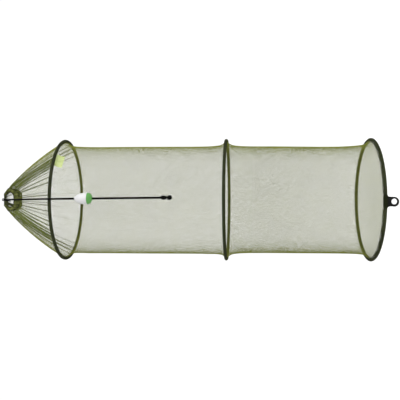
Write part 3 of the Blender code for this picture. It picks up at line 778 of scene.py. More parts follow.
# ---------------------------------------------------------------- the neck
CORD_QUARTER = [(0.0000, -0.0092, -0.0455), (0.0140, -0.0092, -0.0446), (0.0226, -0.0090, -0.0396), (0.0262, -0.0085, -0.0322), (0.0246, -0.0078, -0.0227), (0.0212, -0.0062, -0.0155), (0.0174, -0.0026, -0.0106)]
HEM_QUARTER = [(0.0000, -0.0125, -0.0658), (0.0162, -0.0125, -0.0655), (0.0254, -0.0125, -0.0626), (0.0324, -0.0120, -0.0545), (0.0368, -0.0105, -0.0422), (0.0381, -0.0078, -0.0312), (0.0376, -0.0028, -0.0245)]


def whole_ring(quarter):
    front = [np.array(p) for p in quarter]
    right_half = front + [p * [1, -1, 1] for p in reversed(front)]
    ring = right_half + [p * [-1, 1, 1] for p in reversed(right_half)]
    tidy = []
    for p in ring:
        if not tidy or np.linalg.norm(p - tidy[-1]) > 1e-6:
            tidy.append(p)
    if np.linalg.norm(tidy[0] - tidy[-1]) < 1e-6:
        tidy.pop()
    return tidy


CORD_LINE, HEM_LINE = whole_ring(CORD_QUARTER), whole_ring(HEM_QUARTER)


def drawn(phi):
    """The netting is drawn round towards the mouth's two sides."""
    return (phi + 0.31 * np.sin(2 * phi) - 0.085 * np.sin(4 * phi)) / TAU


def cord_at(phi):
    return smooth_closed(CORD_LINE, drawn(phi))


def hem_at(phi):
    return smooth_closed(HEM_LINE, drawn(phi))


def cone_point(phi, t):
    """On the neck net: t 0 at the mouth hem's lower edge, 1 at the top hoop."""
    near = hem_at(phi)
    near = near - 0.0010 * unit(cord_at(phi) - near)
    far = polar(phi, 0.1903 + 0 * phi, Z_TOP + 0.0030 + 0 * phi)
    bulge = (0.002 + 0.0078 * np.sin(phi) ** 2) * (4 * t * (1 - t)) ** 0.8
    out = unit(np.stack([np.sin(phi), -np.cos(phi), 0.75 + 0 * phi], -1))
    return near + (far - near) * t[..., None] + bulge[..., None] * out, out


# Folds of the gathered net: azimuth at the hoop in degrees, share of the gathered netting at the
# mouth and at the hoop, and width at the hoop in metres. The front ones follow the photograph, the
# others go on in the same way round the back. A wide fold is a bunch of many small pleats.
FOLDS = [
    (4.2, 1.2, 0.9, 0.0018), (7.3, 0.5, 0.4, 0.0012), (16.2, 2.6, 2.2, 0.0022), (21.6, 2.4, 2.0, 0.0020),
    (27.5, 1.4, 0.7, 0.0020), (31.0, 7.0, 0.7, 0.0054), (34.4, 6.5, 1.8, 0.0070), (37.4, 4.6, 1.4, 0.0064),
    (40.6, 2.0, 0.8, 0.0040), (43.6, 1.2, 1.0, 0.0048), (47.4, 0.6, 0.4, 0.0028), (51.6, 0.6, 0.4, 0.0034),
    (57.0, 0.5, 0.2, 0.0026), (64.0, 0.5, 0.15, 0.0030), (75.0, 0.4, 0.1, 0.0030),
    (90.0, 0.6, 0.2, 0.0030), (104.0, 1.2, 0.5, 0.0060), (112.0, 2.6, 1.0, 0.0100), (118.0, 2.6, 1.0, 0.0100),
    (126.0, 0.8, 0.4, 0.0050), (139.0, 0.3, 0.15, 0.0016), (156.0, 0.25, 0.12, 0.0014), (172.0, 0.2, 0.1, 0.0014),
    (189.0, 0.2, 0.1, 0.0014), (204.0, 0.25, 0.12, 0.0014), (221.0, 0.3, 0.15, 0.0016), (234.0, 0.8, 0.4, 0.0050),
    (242.0, 2.6, 1.0, 0.0100), (248.0, 2.6, 1.0, 0.0100), (256.0, 1.2, 0.5, 0.0060), (270.0, 0.8, 0.3, 0.0030),
    (285.0, 0.4, 0.1, 0.0030), (296.0, 0.4, 0.1, 0.0030), (303.0, 0.4, 0.15, 0.0026), (308.4, 0.6, 0.3, 0.0030),
    (312.8, 0.8, 0.4, 0.0026), (316.6, 1.2, 0.9, 0.0050), (319.8, 2.0, 0.9, 0.0042), (322.8, 4.6, 1.7, 0.0066),
    (325.9, 5.5, 0.9, 0.0060), (329.4, 6.0, 0.7, 0.0046), (331.0, 1.6, 0.4, 0.0020),
    (334.8, 2.8, 2.0, 0.0023), (339.4, 2.4, 2.1, 0.0022), (345.0, 0.5, 0.4, 0.0013), (349.2, 1.8, 1.4, 0.0018),
    (355.0, 1.0, 0.8, 0.0014), (357.4, 0.4, 0.3, 0.0012),
]
FOLD_AT = np.radians([x[0] for x in FOLDS])
FOLD_HIGH, FOLD_LOW, FOLD_WIDE = (np.array([x[k] for x in FOLDS]) for k in (1, 2, 3))
TWINES = NECK_TWINES
EVEN = 2 * CELLS / (TAU * WAIST_R)  # twines for each metre of the tube's net


def gather(t, spread):
    """Azimuth of each of the fabric's half meshes on the neck at t, and how tightly it lies in a
    fold. Between the folds the net is about as open as the tube's, and the rest is in the folds."""
    n = 7200
    phi = TAU * np.arange(n + 1) / n
    p, _ = cone_point(phi, t + 0 * phi)
    step = np.linalg.norm(np.diff(p, axis=0), axis=1)
    run = np.concatenate([[0], np.cumsum(step)])
    loose = spread * EVEN * step
    share = FOLD_HIGH * (1 - t) + FOLD_LOW * t
    rest = max(TWINES - loose.sum(), 0)
    share = share / share.sum() * rest
    middle = 0.5 * (run[1:] + run[:-1])
    tight = np.zeros(n)
    whole = run[-1]
    for at, mass, wide in zip(FOLD_AT, share, FOLD_WIDE):
        if wide > 0.0023:
            wide = wide * (0.42 + 0.58 * t)
        x = np.interp(at, phi, run)
        away = np.abs((middle - x + whole / 2) % whole - whole / 2)
        k = np.exp(-((away / (0.5 * wide)) ** 4))
        tight += mass * k * step / (k * step).sum()
    density = np.concatenate([[0], np.cumsum(loose + tight)])
    density *= TWINES / density[-1]
    folded = tight / (loose + tight)
    return phi, density, np.concatenate([folded, folded[:1]])


def cone_net():
    rows = 56
    t = np.arange(rows + 1) / rows
    s = np.arange(TWINES)[:, None]
    j = np.arange(rows + 1)[None, :]
    odd = j % 2
    joint = np.where(s % 2 == 0, s + odd, s + 1 - odd).astype(float)
    chance = np.random.default_rng(21)
    off = chance.normal(size=(2, TWINES, rows + 1)).clip(-2.2, 2.2)
    column = joint.astype(int) % TWINES
    phi = np.zeros(joint.shape)
    folded = np.zeros(joint.shape)
    for k in range(rows + 1):
        spread = 0.80 - 0.16 * t[k]
        grid, density, inside = gather(t[k], spread)
        x = joint[:, k] + 0.16 * off[0][column[:, k], k] * min(1, 8 * t[k], 8 * (1 - t[k]))
        turns = np.floor(x / TWINES)
        phi[:, k] = np.interp(x - turns * TWINES, density, grid) + turns * TAU
        folded[:, k] = np.interp(phi[:, k] % TAU, grid, inside)
    tt = t[None, :] + 0.0022 * off[1][column, j + 0 * column] * np.clip(np.minimum(t, 1 - t) * 12, 0, 1)[None, :]
    p, out = cone_point(phi, np.clip(tt, 0, 1))
    layer = ((s * 7) % 5 - 2) / 2.0
    height = 0.0008 * folded * layer + 0.0003 * folded + 0.00016 * np.where((s + j) % 2 == 0, 1, -1)
    fade = np.clip(t / 0.03, 0.2, 1) * np.clip((1 - t) / 0.02, 0.2, 1)
    p = p + (height * fade[None, :])[..., None] * out
    o = twine_object("neck_netting", strands(p, out, THREAD * (0.95 + 0.20 * folded)), SHADED_FOLD_TWINE)
    # one layer of net looks lighter than the folds
    # the folds take a darker copy of the twine, painted shade, and one layer of net takes the lighter neck twine
    o.data.materials.append(NECK)
    single = 0.5 * (folded[:, 1:] + folded[:, :-1]) < 0.40
    o.data.polygons.foreach_set("material_index", np.repeat(single.ravel(), 3).astype(np.int32))
    return o


neck = cone_net()


def mouth_frame(phi):
    """The drawcord's line, the hem's lower edge, and the outward direction between them."""
    c, h = cord_at(phi), hem_at(phi)
    along = unit(cord_at(phi + 0.01) - cord_at(phi - 0.01))
    down = h - c
    down_u = unit(down - along * (down * along).sum(-1, keepdims=True))
    side = np.cross(along, down_u)
    flip = np.sign((side[..., 0] * c[..., 0] + side[..., 1] * c[..., 1]))
    flip = np.where(flip == 0, 1, flip)
    return c, h, down_u, side * flip[..., None]


def mouth_hem():
    """The netting folded over the drawcord, in deep pleats."""
    total = 520
    grid = TAU * np.arange(3601) / 3600
    step = np.linalg.norm(np.diff(hem_at(grid), axis=0), axis=1)
    step = step * (1 + 0.60 * np.sin(31 * grid[:-1] + 1.7 * np.sin(3 * grid[:-1])))
    density = np.concatenate([[0], np.cumsum(step)]) * total / step.sum()
    # up the outside, over the cord, down the inside
    steps = [("out", 0.0), ("out", 0.2), ("out", 0.4), ("out", 0.6), ("out", 0.8), ("arc", 0.12), ("arc", 0.37), ("arc", 0.63), ("arc", 0.88), ("in", 0.78), ("in", 0.52), ("in", 0.26), ("in", 0.0)]
    cols, norms = [], []
    for j, (kind, v) in enumerate(steps):
        odd = j % 2
        idx = np.arange(total)
        spot = np.where(idx % 2 == 0, idx + odd, idx + 1 - odd).astype(float)
        phi = np.interp(spot % total, density, grid)
        c, h, down, side = mouth_frame(phi)
        pleat = 0.0016 * np.sin(phi * 31 + 1.7 * np.sin(3 * phi)) + 0.0004 * np.sin(spot * 0.9)
        if kind == "arc":
            a = math.pi * v
            o = 0.0022
            p = c + o * math.cos(a) * side - o * math.sin(a) * down
            n = math.cos(a) * side - math.sin(a) * down
        else:
            sign = 1.0 if kind == "out" else -1.0
            lift = 0.0011 + 0.0010 * v + (pleat * (1 - v * 0.5)) * (1.0 if kind == "out" else 0.35)
            p = h + (c - h) * v + sign * lift[..., None] * side
            n = sign * side
        cols.append(p)
        norms.append(n)
    p = np.stack(cols, 1)
    n = np.stack(norms, 1)
    parts = [strands(p, n, 0.00068, caps=True)]
    # the hem is in the darker mouth twine, with its painted pleat shade and highlights
    return twine_object("mouth_hem", parts, SHADED_MOUTH_TWINE)


def mouth_seams():
    """Rows of dark stitches along the hem's lower edge and along the drawcord."""
    parts = []
    m = 300
    phi = TAU * np.arange(m) / m
    c, h, down, side = mouth_frame(phi)
    w = np.where(np.arange(m) % 2 == 0, 1.0, -1.0) * 0.0013
    up_dir = unit(c - h)
    for sign in (1.0, -1.0):
        pts = h + (0.0022 + w)[:, None] * up_dir + sign * 0.0025 * side
        parts.append(strands(pts[None], (sign * side)[None], 0.00055, closed=True))
        pts = c - (0.0006 + 0.5 * w)[:, None] * up_dir + sign * 0.0030 * side
        parts.append(strands(pts[None], (sign * side)[None], 0.0009, closed=True))
    return twine_object("mouth_seams", parts, BOOT)


mouth, mouth_stitch = mouth_hem(), mouth_seams()


def drawcord():
    m = 260
    phi = TAU * np.arange(m) / m
    c, h, down, side = mouth_frame(phi)
    turns = TAU * np.arange(12) / 12
    run = np.arange(m) * 0.7
    r = 0.00145 * (1 - 0.10 * np.abs(np.sin(3 * turns[None] + run[:, None])))
    rings = c[:, None] + r[..., None] * (np.cos(turns)[None, :, None] * down[:, None] + np.sin(turns)[None, :, None] * side[:, None])
    j, k = np.meshgrid(np.arange(m), np.arange(12), indexing="ij")
    j2, k2 = (j + 1) % m, (k + 1) % 12
    q = np.stack([j * 12 + k, j2 * 12 + k, j2 * 12 + k2, j * 12 + k2], -1).reshape(-1, 4)
    return fix_outwards(new_object("drawcord", mesh_from("drawcord", rings.reshape(-1, 3), q), CORD))


draw = drawcord()

# ---------------------------------------------------------------- the hang loop


def cord_piece(lines, relief):
    points, quads, tris, base = [], [], [], 0
    for line, radius, closed in lines:
        p, q, t = tube(line, radius, 14, relief, not closed)
        points.append(p)
        quads.append(q + base)
        if t is not None:
            tris.append(t + base)
        base += len(p)
    return np.concatenate(points), np.concatenate(quads), np.concatenate(tris) if tris else None


def ball(centre, radii, seg=24, rings=14):
    bm = bmesh.new()
    bmesh.ops.create_uvsphere(bm, u_segments=seg, v_segments=rings, radius=1.0)
    for v in bm.verts:
        v.co = Vector((v.co.x * radii[0] + centre[0], v.co.y * radii[1] + centre[1], v.co.z * radii[2] + centre[2]))
    return bm


def hang_loop():
    rel = braid(5, 0.010, 0.10)
    lines = []
    # the eye, closed under the knot
    eye = [(0.0018, 0, -0.0100), (0.0032, 0, -0.0065), (0.0034, 0, -0.0040), (0.0022, 0, -0.0020), (0.0, 0, -0.0014), (-0.0022, 0, -0.0020), (-0.0034, 0, -0.0040), (-0.0032, 0, -0.0065), (-0.0018, 0, -0.0100)]
    lines.append((smooth_open(eye, 0.0005), 0.0014, False))
    # the knot: turns of the cord round the gathered ends
    for k, (z, r, lean) in enumerate(((-0.0075, 0.0030, 0.16), (-0.0096, 0.0035, -0.12), (-0.0117, 0.0031, 0.14))):
        a = np.linspace(0, TAU * 1.02, 60)
        line = np.stack([r * np.cos(a), -0.0005 + r * 0.92 * np.sin(a), z + lean * r * np.sin(a + k) + 0.0004 * a / TAU], 1)
        lines.append((line, 0.00145, False))
    # one arm down to each side of the mouth
    for sx in (1, -1):
        arm = [(0, -0.0003, -0.0094), (sx * 0.0050, -0.0004, -0.0090), (sx * 0.0100, -0.0004, -0.0087), (sx * 0.0140, -0.0004, -0.0086), (sx * 0.0166, -0.0004, -0.0090)]
        lines.append((smooth_open(arm, 0.0005), 0.0016, False))
    # the cut end below the knot
    stub = [(-0.0008, -0.0036, -0.0120), (-0.0026, -0.0064, -0.0160), (-0.0040, -0.0088, -0.0230), (-0.0046, -0.0098, -0.0330)]
    lines.append((smooth_open(stub, 0.0005), 0.0018, False))
    p, q, t = cord_piece(lines, rel)
    return new_object("hang_knot", mesh_from("hang_knot", p, q, t), CORD)


hang = hang_loop()


def mouth_strand():
    """A twist of netting drawn from the knot down to the back of the mouth."""
    line = smooth_open([(0.0050, 0.0006, -0.0105), (0.0105, 0.0030, -0.0160), (0.0150, 0.0055, -0.0245), (0.0185, 0.0072, -0.0360)], 0.0006)
    turns = np.arange(len(line)) * 0.55
    along, side, out = frames_along(line, (0, 1, 0))
    parts = []
    for k in range(4):
        a = turns + k * TAU / 4
        pts = line + 0.00065 * (np.cos(a)[:, None] * side + np.sin(a)[:, None] * out)
        parts.append(strands(pts[None], out[None], 0.00045, caps=True))
    # the twist is in the darker fold twine, painted shade
    return twine_object("mouth_strand", parts, SHADED_FOLD_TWINE)


strand = mouth_strand()


def bundle(route, wide, count, thread, twist, seed):
    """A bunch of netting drawn into a rope: many twines that wind loosely round one line."""
    line = smooth_open(route, 0.0008)
    n = len(line)
    along, side, out = frames_along(line, (0, 1, 0))
    share = np.linspace(0, 1, n)
    radius = np.interp(share, np.linspace(0, 1, len(wide)), wide)
    chance = np.random.default_rng(seed)
    turns = chance.uniform(0, TAU, count)
    deep = np.sqrt(chance.uniform(0.15, 1.0, count))
    wave = chance.uniform(0, TAU, count)
    paths = []
    for k in range(count):
        a = turns[k] + twist * share + 0.35 * np.sin(7 * share + wave[k])
        r = radius * deep[k] * (1 + 0.12 * np.sin(11 * share + 2 * wave[k]))
        paths.append(line + r[:, None] * (np.cos(a)[:, None] * side + np.sin(a)[:, None] * out))
    return strands(np.array(paths), np.broadcast_to(out, (count, n, 3)), thread, caps=True)


def mouth_bunches():
    """The hem's netting pulled together by the knot: one bunch along each side of the mouth, and a
    third that falls across its left half."""
    parts = [
        bundle([(0.0012, -0.0006, -0.0112), (0.0062, -0.0012, -0.0112), (0.0118, -0.0018, -0.0120), (0.0170, -0.0024, -0.0150), (0.0225, -0.0030, -0.0205)], (0.0016, 0.0026, 0.0034, 0.0036, 0.0036), 44, 0.00062, 3.0, 5),
        bundle([(-0.0012, -0.0006, -0.0112), (-0.0062, -0.0012, -0.0116), (-0.0118, -0.0018, -0.0130), (-0.0170, -0.0024, -0.0165), (-0.0225, -0.0030, -0.0220)], (0.0018, 0.0030, 0.0040, 0.0040, 0.0036), 48, 0.00062, -3.0, 6),
        bundle([(-0.0020, -0.0020, -0.0125), (-0.0080, -0.0040, -0.0185), (-0.0135, -0.0062, -0.0270), (-0.0175, -0.0080, -0.0355), (-0.0190, -0.0092, -0.0445)], (0.0016, 0.0034, 0.0044, 0.0042, 0.0030), 56, 0.00062, 2.4, 7),
    ]
    # the bunches are in the darker hem twine, painted shade
    return twine_object("mouth_bunches", parts, SHADED_HEM_TWINE)


def mouth_back():
    """Netting of the neck's back, drawn up to the knot behind the mouth."""
    count, rows = 34, 17
    t = np.linspace(0, 1, rows)
    s = np.arange(count)[:, None]
    j = np.arange(rows)[None, :]
    odd = j % 2
    joint = np.where(s % 2 == 0, s + odd, s + 1 - odd) / (count + 1)
    phi = math.pi * (0.62 + 0.76 * joint)
    rim = cord_at(phi)
    top = np.array([0.0, 0.0022, -0.0108]) + np.stack([0.0035 * (1 - 2 * joint), 0 * joint, 0 * joint], -1)
    tt = t[None, :, None]
    p = top + (rim - top) * tt
    p[..., 1] += 0.0028 * np.sin(math.pi * tt[..., 0]) + 0.00015 * np.where((s + j) % 2 == 0, 1, -1)
    n = np.broadcast_to(np.array([0, 1.0, 0.25]) / 1.0308, p.shape)
    return twine_object("mouth_back_net", strands(p, n, 0.00040, caps=True), NET)


bunches, back_net = mouth_bunches(), mouth_back()

# ---------------------------------------------------------------- the tail cord
upper_route = [
    (0.0000, -0.0037, -0.0129),
    (0.0005, -0.0500, -0.0610),
    (0.0010, -0.1000, -0.1130),
    (0.0016, -0.1500, -0.1640),
    (0.0021, -0.1930, -0.2060),
    (0.0022, -0.2016, -0.2152),
    (0.0022, TAIL_Y, Z_TOP + 0.0025),
    (0.0022, TAIL_Y, Z_TOP - 0.0004),
]


def on_tail(z):
    return np.array([TAIL_TOP[0] - TAIL_LEAN * (z - Z_TOP), TAIL_Y, z])


upper_line = smooth_open(upper_route, 0.00045)
p, q, t = tube(upper_line, 0.00280, 24, braid(6, 0.0130, 0.11), True, (1, 0, 0))
tail_upper = new_object("tail_cord_upper", mesh_from("tail_cord_upper", p, q, t), CORD)

zs = np.linspace(Z_TOP + 0.0004, KNOT1[0] - 0.0020, 760)
lower_line = np.stack([on_tail(z) for z in zs])
run = (zs[0] - zs)
widen = 0.00285 + 0.00035 * np.clip(run / 0.05, 0, 1) + 0.00018 * np.clip((run - 0.22) / 0.10, 0, 1)
p, q, t = tube(lower_line, widen, 24, braid(6, 0.0140, 0.11), True, (1, 0, 0))
tail_lower = new_object("tail_cord_lower", mesh_from("tail_cord_lower", p, q, t), CORD)


def knot(name, top, bottom, radius, lean, end):
    """An overhand knot drawn tight: three turns of the cord that cross each other."""
    mid, h = (top + bottom) / 2, top - bottom
    lines = []
    rope = 0.0031
    core = radius - rope
    a = np.linspace(0, TAU * 2.5, 220)
    s = a / a[-1]
    r = core * (0.95 + 0.10 * np.sin(2 * a))
    z = mid + (0.5 - s) * (h - 2 * rope) * 0.92 + 0.0009 * np.sin(a + 0.6)
    c = np.stack([on_tail(x) for x in z])
    wind = c + np.stack([r * np.cos(a), r * np.sin(a), lean * np.cos(a) * r], 1)
    lines.append((wind, rope, False))
    # the pass over the turns, from one end of the knot to the other
    b = np.linspace(-0.5, 0.5, 60)
    over_z = mid - b * (h - 2 * rope)
    over = np.stack([on_tail(x) for x in over_z]) + np.stack([core * 1.10 * np.sin(b * 3.0 + 0.4), -core * 1.15 * np.cos(b * 2.2), 0 * b], 1)
    lines.append((over, rope * 0.92, False))
    heart = np.stack([on_tail(x) for x in np.linspace(top + 0.0004, bottom - end, 40)])
    lines.append((heart, np.interp(np.linspace(0, 1, 40), [0, 0.1, 0.9, 1], [0.0032, 0.0052, 0.0052, 0.0030]), False))
    p, q, t = cord_piece(lines, braid(5, 0.0110, 0.14))
    return new_object(name, mesh_from(name, p, q, t), CORD)


knot_a = knot("stopper_knot_cord", KNOT1[0], KNOT1[1], 0.0068, 0.25, 0.0040)
knot_b = knot("end_knot_cord", KNOT2[0], KNOT2[1], 0.0076, -0.30, 0.0006)

# ---------------------------------------------------------------- the float
BORE = 0.00275 + 0.0006 + 0.0009 + 0.0003


def nose(s):
    return max(FLOAT_R * (1 - (1 - s) ** 2.4) ** 0.46, BORE + 0.0010)


white_profile = [(BORE, FLOAT_TOP + 0.0003), (BORE + 0.0008, FLOAT_TOP), (BORE + 0.0013, FLOAT_TOP - 0.0002)]
for s in np.linspace(0.03, 1.0, 40):
    white_profile.append((nose(s), FLOAT_TOP + s * (FLOAT_JOIN - FLOAT_TOP)))
white_profile[-1] = (FLOAT_R, FLOAT_JOIN + 0.0004)
white_profile += [(FLOAT_R - 0.00035, FLOAT_JOIN), (BORE, FLOAT_JOIN)]
p, q = ring_about(white_profile, 72, on_tail)
white = fix_outwards(new_object("float_nose_foam", mesh_from("float_nose_foam", p, q), WHITE_WITH_PAINTED_SHADE, sharp=50))

down = FLOAT_JOIN - 0.0003 - FLOAT_END
green_profile = [(BORE, FLOAT_JOIN - 0.0003), (FLOAT_R - 0.00035, FLOAT_JOIN - 0.0003), (FLOAT_R, FLOAT_JOIN - 0.0007)]
for a in np.linspace(0.06, 1.22, 30):
    green_profile.append((FLOAT_R * math.cos(a) ** 0.97, FLOAT_JOIN - 0.0003 - down * math.sin(a) ** 1.0))
green_profile += [(BORE + 0.0016, FLOAT_END + 0.0006), (BORE + 0.0010, FLOAT_END), (BORE, FLOAT_END + 0.0002)]
p, q = ring_about(green_profile, 72, on_tail)
green = fix_outwards(new_object("float_end_foam", mesh_from("float_end_foam", p, q), GREEN, sharp=50))

liner_out = BORE - 0.0002
liner_profile = [(liner_out - 0.0009, FLOAT_TOP + 0.0007), (liner_out - 0.0006, FLOAT_TOP + 0.0011), (liner_out - 0.0001, FLOAT_TOP + 0.0010), (liner_out, FLOAT_TOP + 0.0005), (liner_out, FLOAT_END + 0.0014), (liner_out - 0.0001, FLOAT_END + 0.0009), (liner_out - 0.0006, FLOAT_END + 0.0008), (liner_out - 0.0009, FLOAT_END + 0.0012)]
p, q = ring_about(liner_profile, 40, on_tail)
liner = fix_outwards(new_object("float_liner_tube", mesh_from("float_liner_tube", p, q), LINER))

# ---------------------------------------------------------------- the lug
LUG_AT = Vector((0.1949 * math.sin(LUG_PHI), -0.1949 * math.cos(LUG_PHI), Z_BOT))
L = Matrix.Translation(LUG_AT) @ Matrix.Rotation(LUG_PHI, 4, "Z")
EYE_DOWN = Z_BOT - EYE_Z
EYE_R, EYE_OUT, TAB_HALF, LUG_T = 0.0085, 0.0140, 0.0138, 0.0050


def prism(bm, outline, y0, y1, hole=None):
    """A plate in the lug's plane. outline is (x, z) points, y0 and y1 its faces."""
    a = [bm.verts.new((x, y0, z)) for x, z in outline]
    b = [bm.verts.new((x, y1, z)) for x, z in outline]
    n = len(outline)
    if hole is None:
        bm.faces.new(a)
        bm.faces.new(list(reversed(b)))
        for i in range(n):
            bm.faces.new((a[i], b[i], b[(i + 1) % n], a[(i + 1) % n]))
    else:
        c = [bm.verts.new((x, y0, z)) for x, z in hole]
        d = [bm.verts.new((x, y1, z)) for x, z in hole]
        for i in range(n):
            k = (i + 1) % n
            bm.faces.new((a[i], a[k], c[k], c[i]))
            bm.faces.new((b[k], b[i], d[i], d[k]))
            bm.faces.new((a[k], a[i], b[i], b[k]))
            bm.faces.new((c[i], c[k], d[k], d[i]))


def lug():
    bm = bmesh.new()
    n = 72
    circle = lambda r: [(r * math.cos(TAU * k / n), -EYE_DOWN + r * math.sin(TAU * k / n)) for k in range(n)]
    prism(bm, [(x * 1.035 - 0.0010, z) for x, z in circle(EYE_OUT)], -LUG_T / 2, LUG_T / 2, [(x - 0.0003, z) for x, z in circle(EYE_R)])
    # side ribs, from the collar to the eye
    for sx, half in ((1, TAB_HALF), (-1, TAB_HALF + 0.0010)):
        rib = [(sx * (half + 0.0038), -0.0050), (sx * (half + 0.0014), -0.0086), (sx * half, -0.0128), (sx * half, -EYE_DOWN + 0.0030), (sx * (half - 0.0034), -EYE_DOWN + 0.0060), (sx * (half - 0.0036), -0.0120), (sx * (half - 0.0038), -0.0056)]
        prism(bm, rib if sx > 0 else list(reversed(rib)), -LUG_T / 2, LUG_T / 2)
    # the web between the ribs, and the cross rib under the collar
    web = [(-0.0118, -0.0056), (-0.0118, -EYE_DOWN + 0.0062)] + [(x, -EYE_DOWN + math.sqrt(0.0118**2 - x * x)) for x in np.linspace(-0.0096, 0.0096, 15)] + [(0.0118, -EYE_DOWN + 0.0062), (0.0118, -0.0056)]
    prism(bm, web, -0.0012, 0.0012)
    prism(bm, [(-0.0130, -0.0054), (-0.0130, -0.0098), (0.0130, -0.0098), (0.0130, -0.0054)], -LUG_T / 2, LUG_T / 2)
    # the collar that turns on the hoop
    m = 40
    rings = []
    for x, r in ((-0.0180, 0.0048), (-0.0180, 0.0058), (-0.0176, 0.0063), (0.0176, 0.0063), (0.0180, 0.0058), (0.0180, 0.0048)):
        squat = 0.63 if r > 0.0050 else 0.75
        low = lambda z: z if z < 0.0020 else 0.0020 + squat * (z - 0.0020)
        rings.append([bm.verts.new((x, r * math.cos(TAU * k / m), low(r * math.sin(TAU * k / m)))) for k in range(m)])
    for i in range(len(rings)):
        a, b = rings[i], rings[(i + 1) % len(rings)]
        for k in range(m):
            bm.faces.new((a[k], a[(k + 1) % m], b[(k + 1) % m], b[k]))
    bmesh.ops.recalc_face_normals(bm, faces=bm.faces)
    me = bpy.data.meshes.new("lug_moulding")
    bm.to_mesh(me)
    bm.free()
    o = new_object("lug_moulding", me, LUGM)
    remesh = o.modifiers.new("Remesh", "REMESH")
    remesh.mode = "VOXEL"
    remesh.voxel_size = 0.00038
    smooth = o.modifiers.new("Smooth", "SMOOTH")
    smooth.factor = 0.5
    smooth.iterations = 3
    bpy.context.view_layer.update()
    done = bpy.data.meshes.new_from_object(o.evaluated_get(bpy.context.evaluated_depsgraph_get()))
    o.modifiers.clear()
    o.data = done
    done.name = "lug_moulding"
    done.transform(L)
    done.materials.clear()
    done.materials.append(LUGM)
    done.shade_smooth()
    return o


lug_piece = lug()


def boot():
    """Hem cloth sewn round the lug's collar, open where the tab comes out."""
    open_half = math.radians(30)
    n_a, n_x = 40, 48
    angles = np.linspace(-math.pi / 2 + open_half, 1.5 * math.pi - open_half, n_a)
    xs = np.linspace(-0.0196, 0.0196, n_x)
    a, x = np.meshgrid(angles, xs, indexing="ij")
    end = np.clip((np.abs(x) - 0.0162) / 0.0034, 0, 1)
    crease = 0.00022 * np.sin(3200 * x * 0.35 + 4 * np.sin(2 * a)) + 0.00018 * np.sin(900 * x + 3 * a)
    r_in = 0.0067 - 0.0020 * np.clip(np.sin(a), 0, 1) - 0.0008 * end**1.6 * (1 - np.clip(np.sin(a), 0, 1)) + 0.4 * crease
    r_out = r_in + 0.0005
    lip = np.clip(1 - np.minimum(a - angles[0], angles[-1] - a) / 0.18, 0, 1)
    r_out = r_out + 0.0006 * lip
    outer = np.stack([x, r_out * np.cos(a), r_out * np.sin(a)], -1)
    inner = np.stack([x, r_in * np.cos(a), r_in * np.sin(a)], -1)
    pts = np.concatenate([outer.reshape(-1, 3), inner.reshape(-1, 3)])
    half = n_a * n_x
    i, j = np.meshgrid(np.arange(n_a - 1), np.arange(n_x - 1), indexing="ij")
    at = lambda ii, jj, k: k * half + ii * n_x + jj
    q = [np.stack([at(i, j, 0), at(i, j + 1, 0), at(i + 1, j + 1, 0), at(i + 1, j, 0)], -1).reshape(-1, 4), np.stack([at(i, j, 1), at(i + 1, j, 1), at(i + 1, j + 1, 1), at(i, j + 1, 1)], -1).reshape(-1, 4)]
    k = np.arange(n_a - 1)
    for jj, rev in ((0, False), (n_x - 1, True)):
        e = np.stack([at(k, jj, 0), at(k + 1, jj, 0), at(k + 1, jj, 1), at(k, jj, 1)], -1)
        q.append(e[:, ::-1] if rev else e)
    k = np.arange(n_x - 1)
    for ii, rev in ((0, True), (n_a - 1, False)):
        e = np.stack([at(ii, k, 0), at(ii, k + 1, 0), at(ii, k + 1, 1), at(ii, k, 1)], -1)
        q.append(e[:, ::-1] if rev else e)
    o = new_object("lug_boot_cloth", mesh_from("lug_boot_cloth", pts, np.concatenate(q)), BOOT)
    o.data.transform(L)
    return fix_outwards(o)


boot_piece = boot()


def boot_net():
    """Two layers of netting over the boot, and the lashing at its ends."""
    lm = np.array(L)
    parts = []
    for layer, (cells, rad, ph) in enumerate(((14, 0.00055, 0.0), (12, 0.00055, 0.4))):
        rows = 11
        a = np.linspace(-math.pi / 2 + math.radians(33), 1.5 * math.pi - math.radians(33), rows)
        s = np.arange(2 * cells)[:, None]
        j = np.arange(rows)[None, :]
        odd = j % 2
        spot = np.where(s % 2 == 0, s / 2 + 0.5 * odd, (s + 1) / 2 - 0.5 * odd) + ph
        x = -0.0182 + 0.0364 * spot / (cells + 1)
        rr = 0.0077 + 0.0003 * layer - 0.0010 * np.clip((np.abs(x) - 0.0152) / 0.0045, 0, 1) ** 1.6
        aa = np.broadcast_to(a[None, :], x.shape)
        rr = rr - 0.0022 * np.clip(np.sin(aa), 0, 1)
        p = np.stack([x, rr * np.cos(aa), rr * np.sin(aa)], -1)
        n = np.stack([0 * x, np.cos(aa), np.sin(aa)], -1)
        parts.append((p, n, rad))
    made = []
    for p, n, rad in parts:
        p = p @ lm[:3, :3].T + lm[:3, 3]
        n = n @ lm[:3, :3].T
        made.append(strands(p, n, rad, caps=True))
    for x0 in (-0.0190, 0.0190):
        a = np.linspace(-math.pi / 2 + math.radians(40), 1.5 * math.pi - math.radians(40), 90)
        for k in range(2):
            x = x0 + 0.0006 * (k * 2 - 1) + 0.0002 * np.sin(20 * a)
            lash = 0.0069 - 0.0018 * np.clip(np.sin(a), 0, 1)
            p = np.stack([x, lash * np.cos(a), lash * np.sin(a)], -1)
            n = np.stack([0 * a, np.cos(a), np.sin(a)], -1)
            p = p @ lm[:3, :3].T + lm[:3, 3]
            n = n @ lm[:3, :3].T
            made.append(strands(p[None], n[None], 0.0006, sides=6, caps=True))
    return twine_object("lug_boot_netting", made, BOOT)


boot_twine = boot_net()

# ---------------------------------------------------------------- the label
LABEL_PHI = math.radians(42.6)


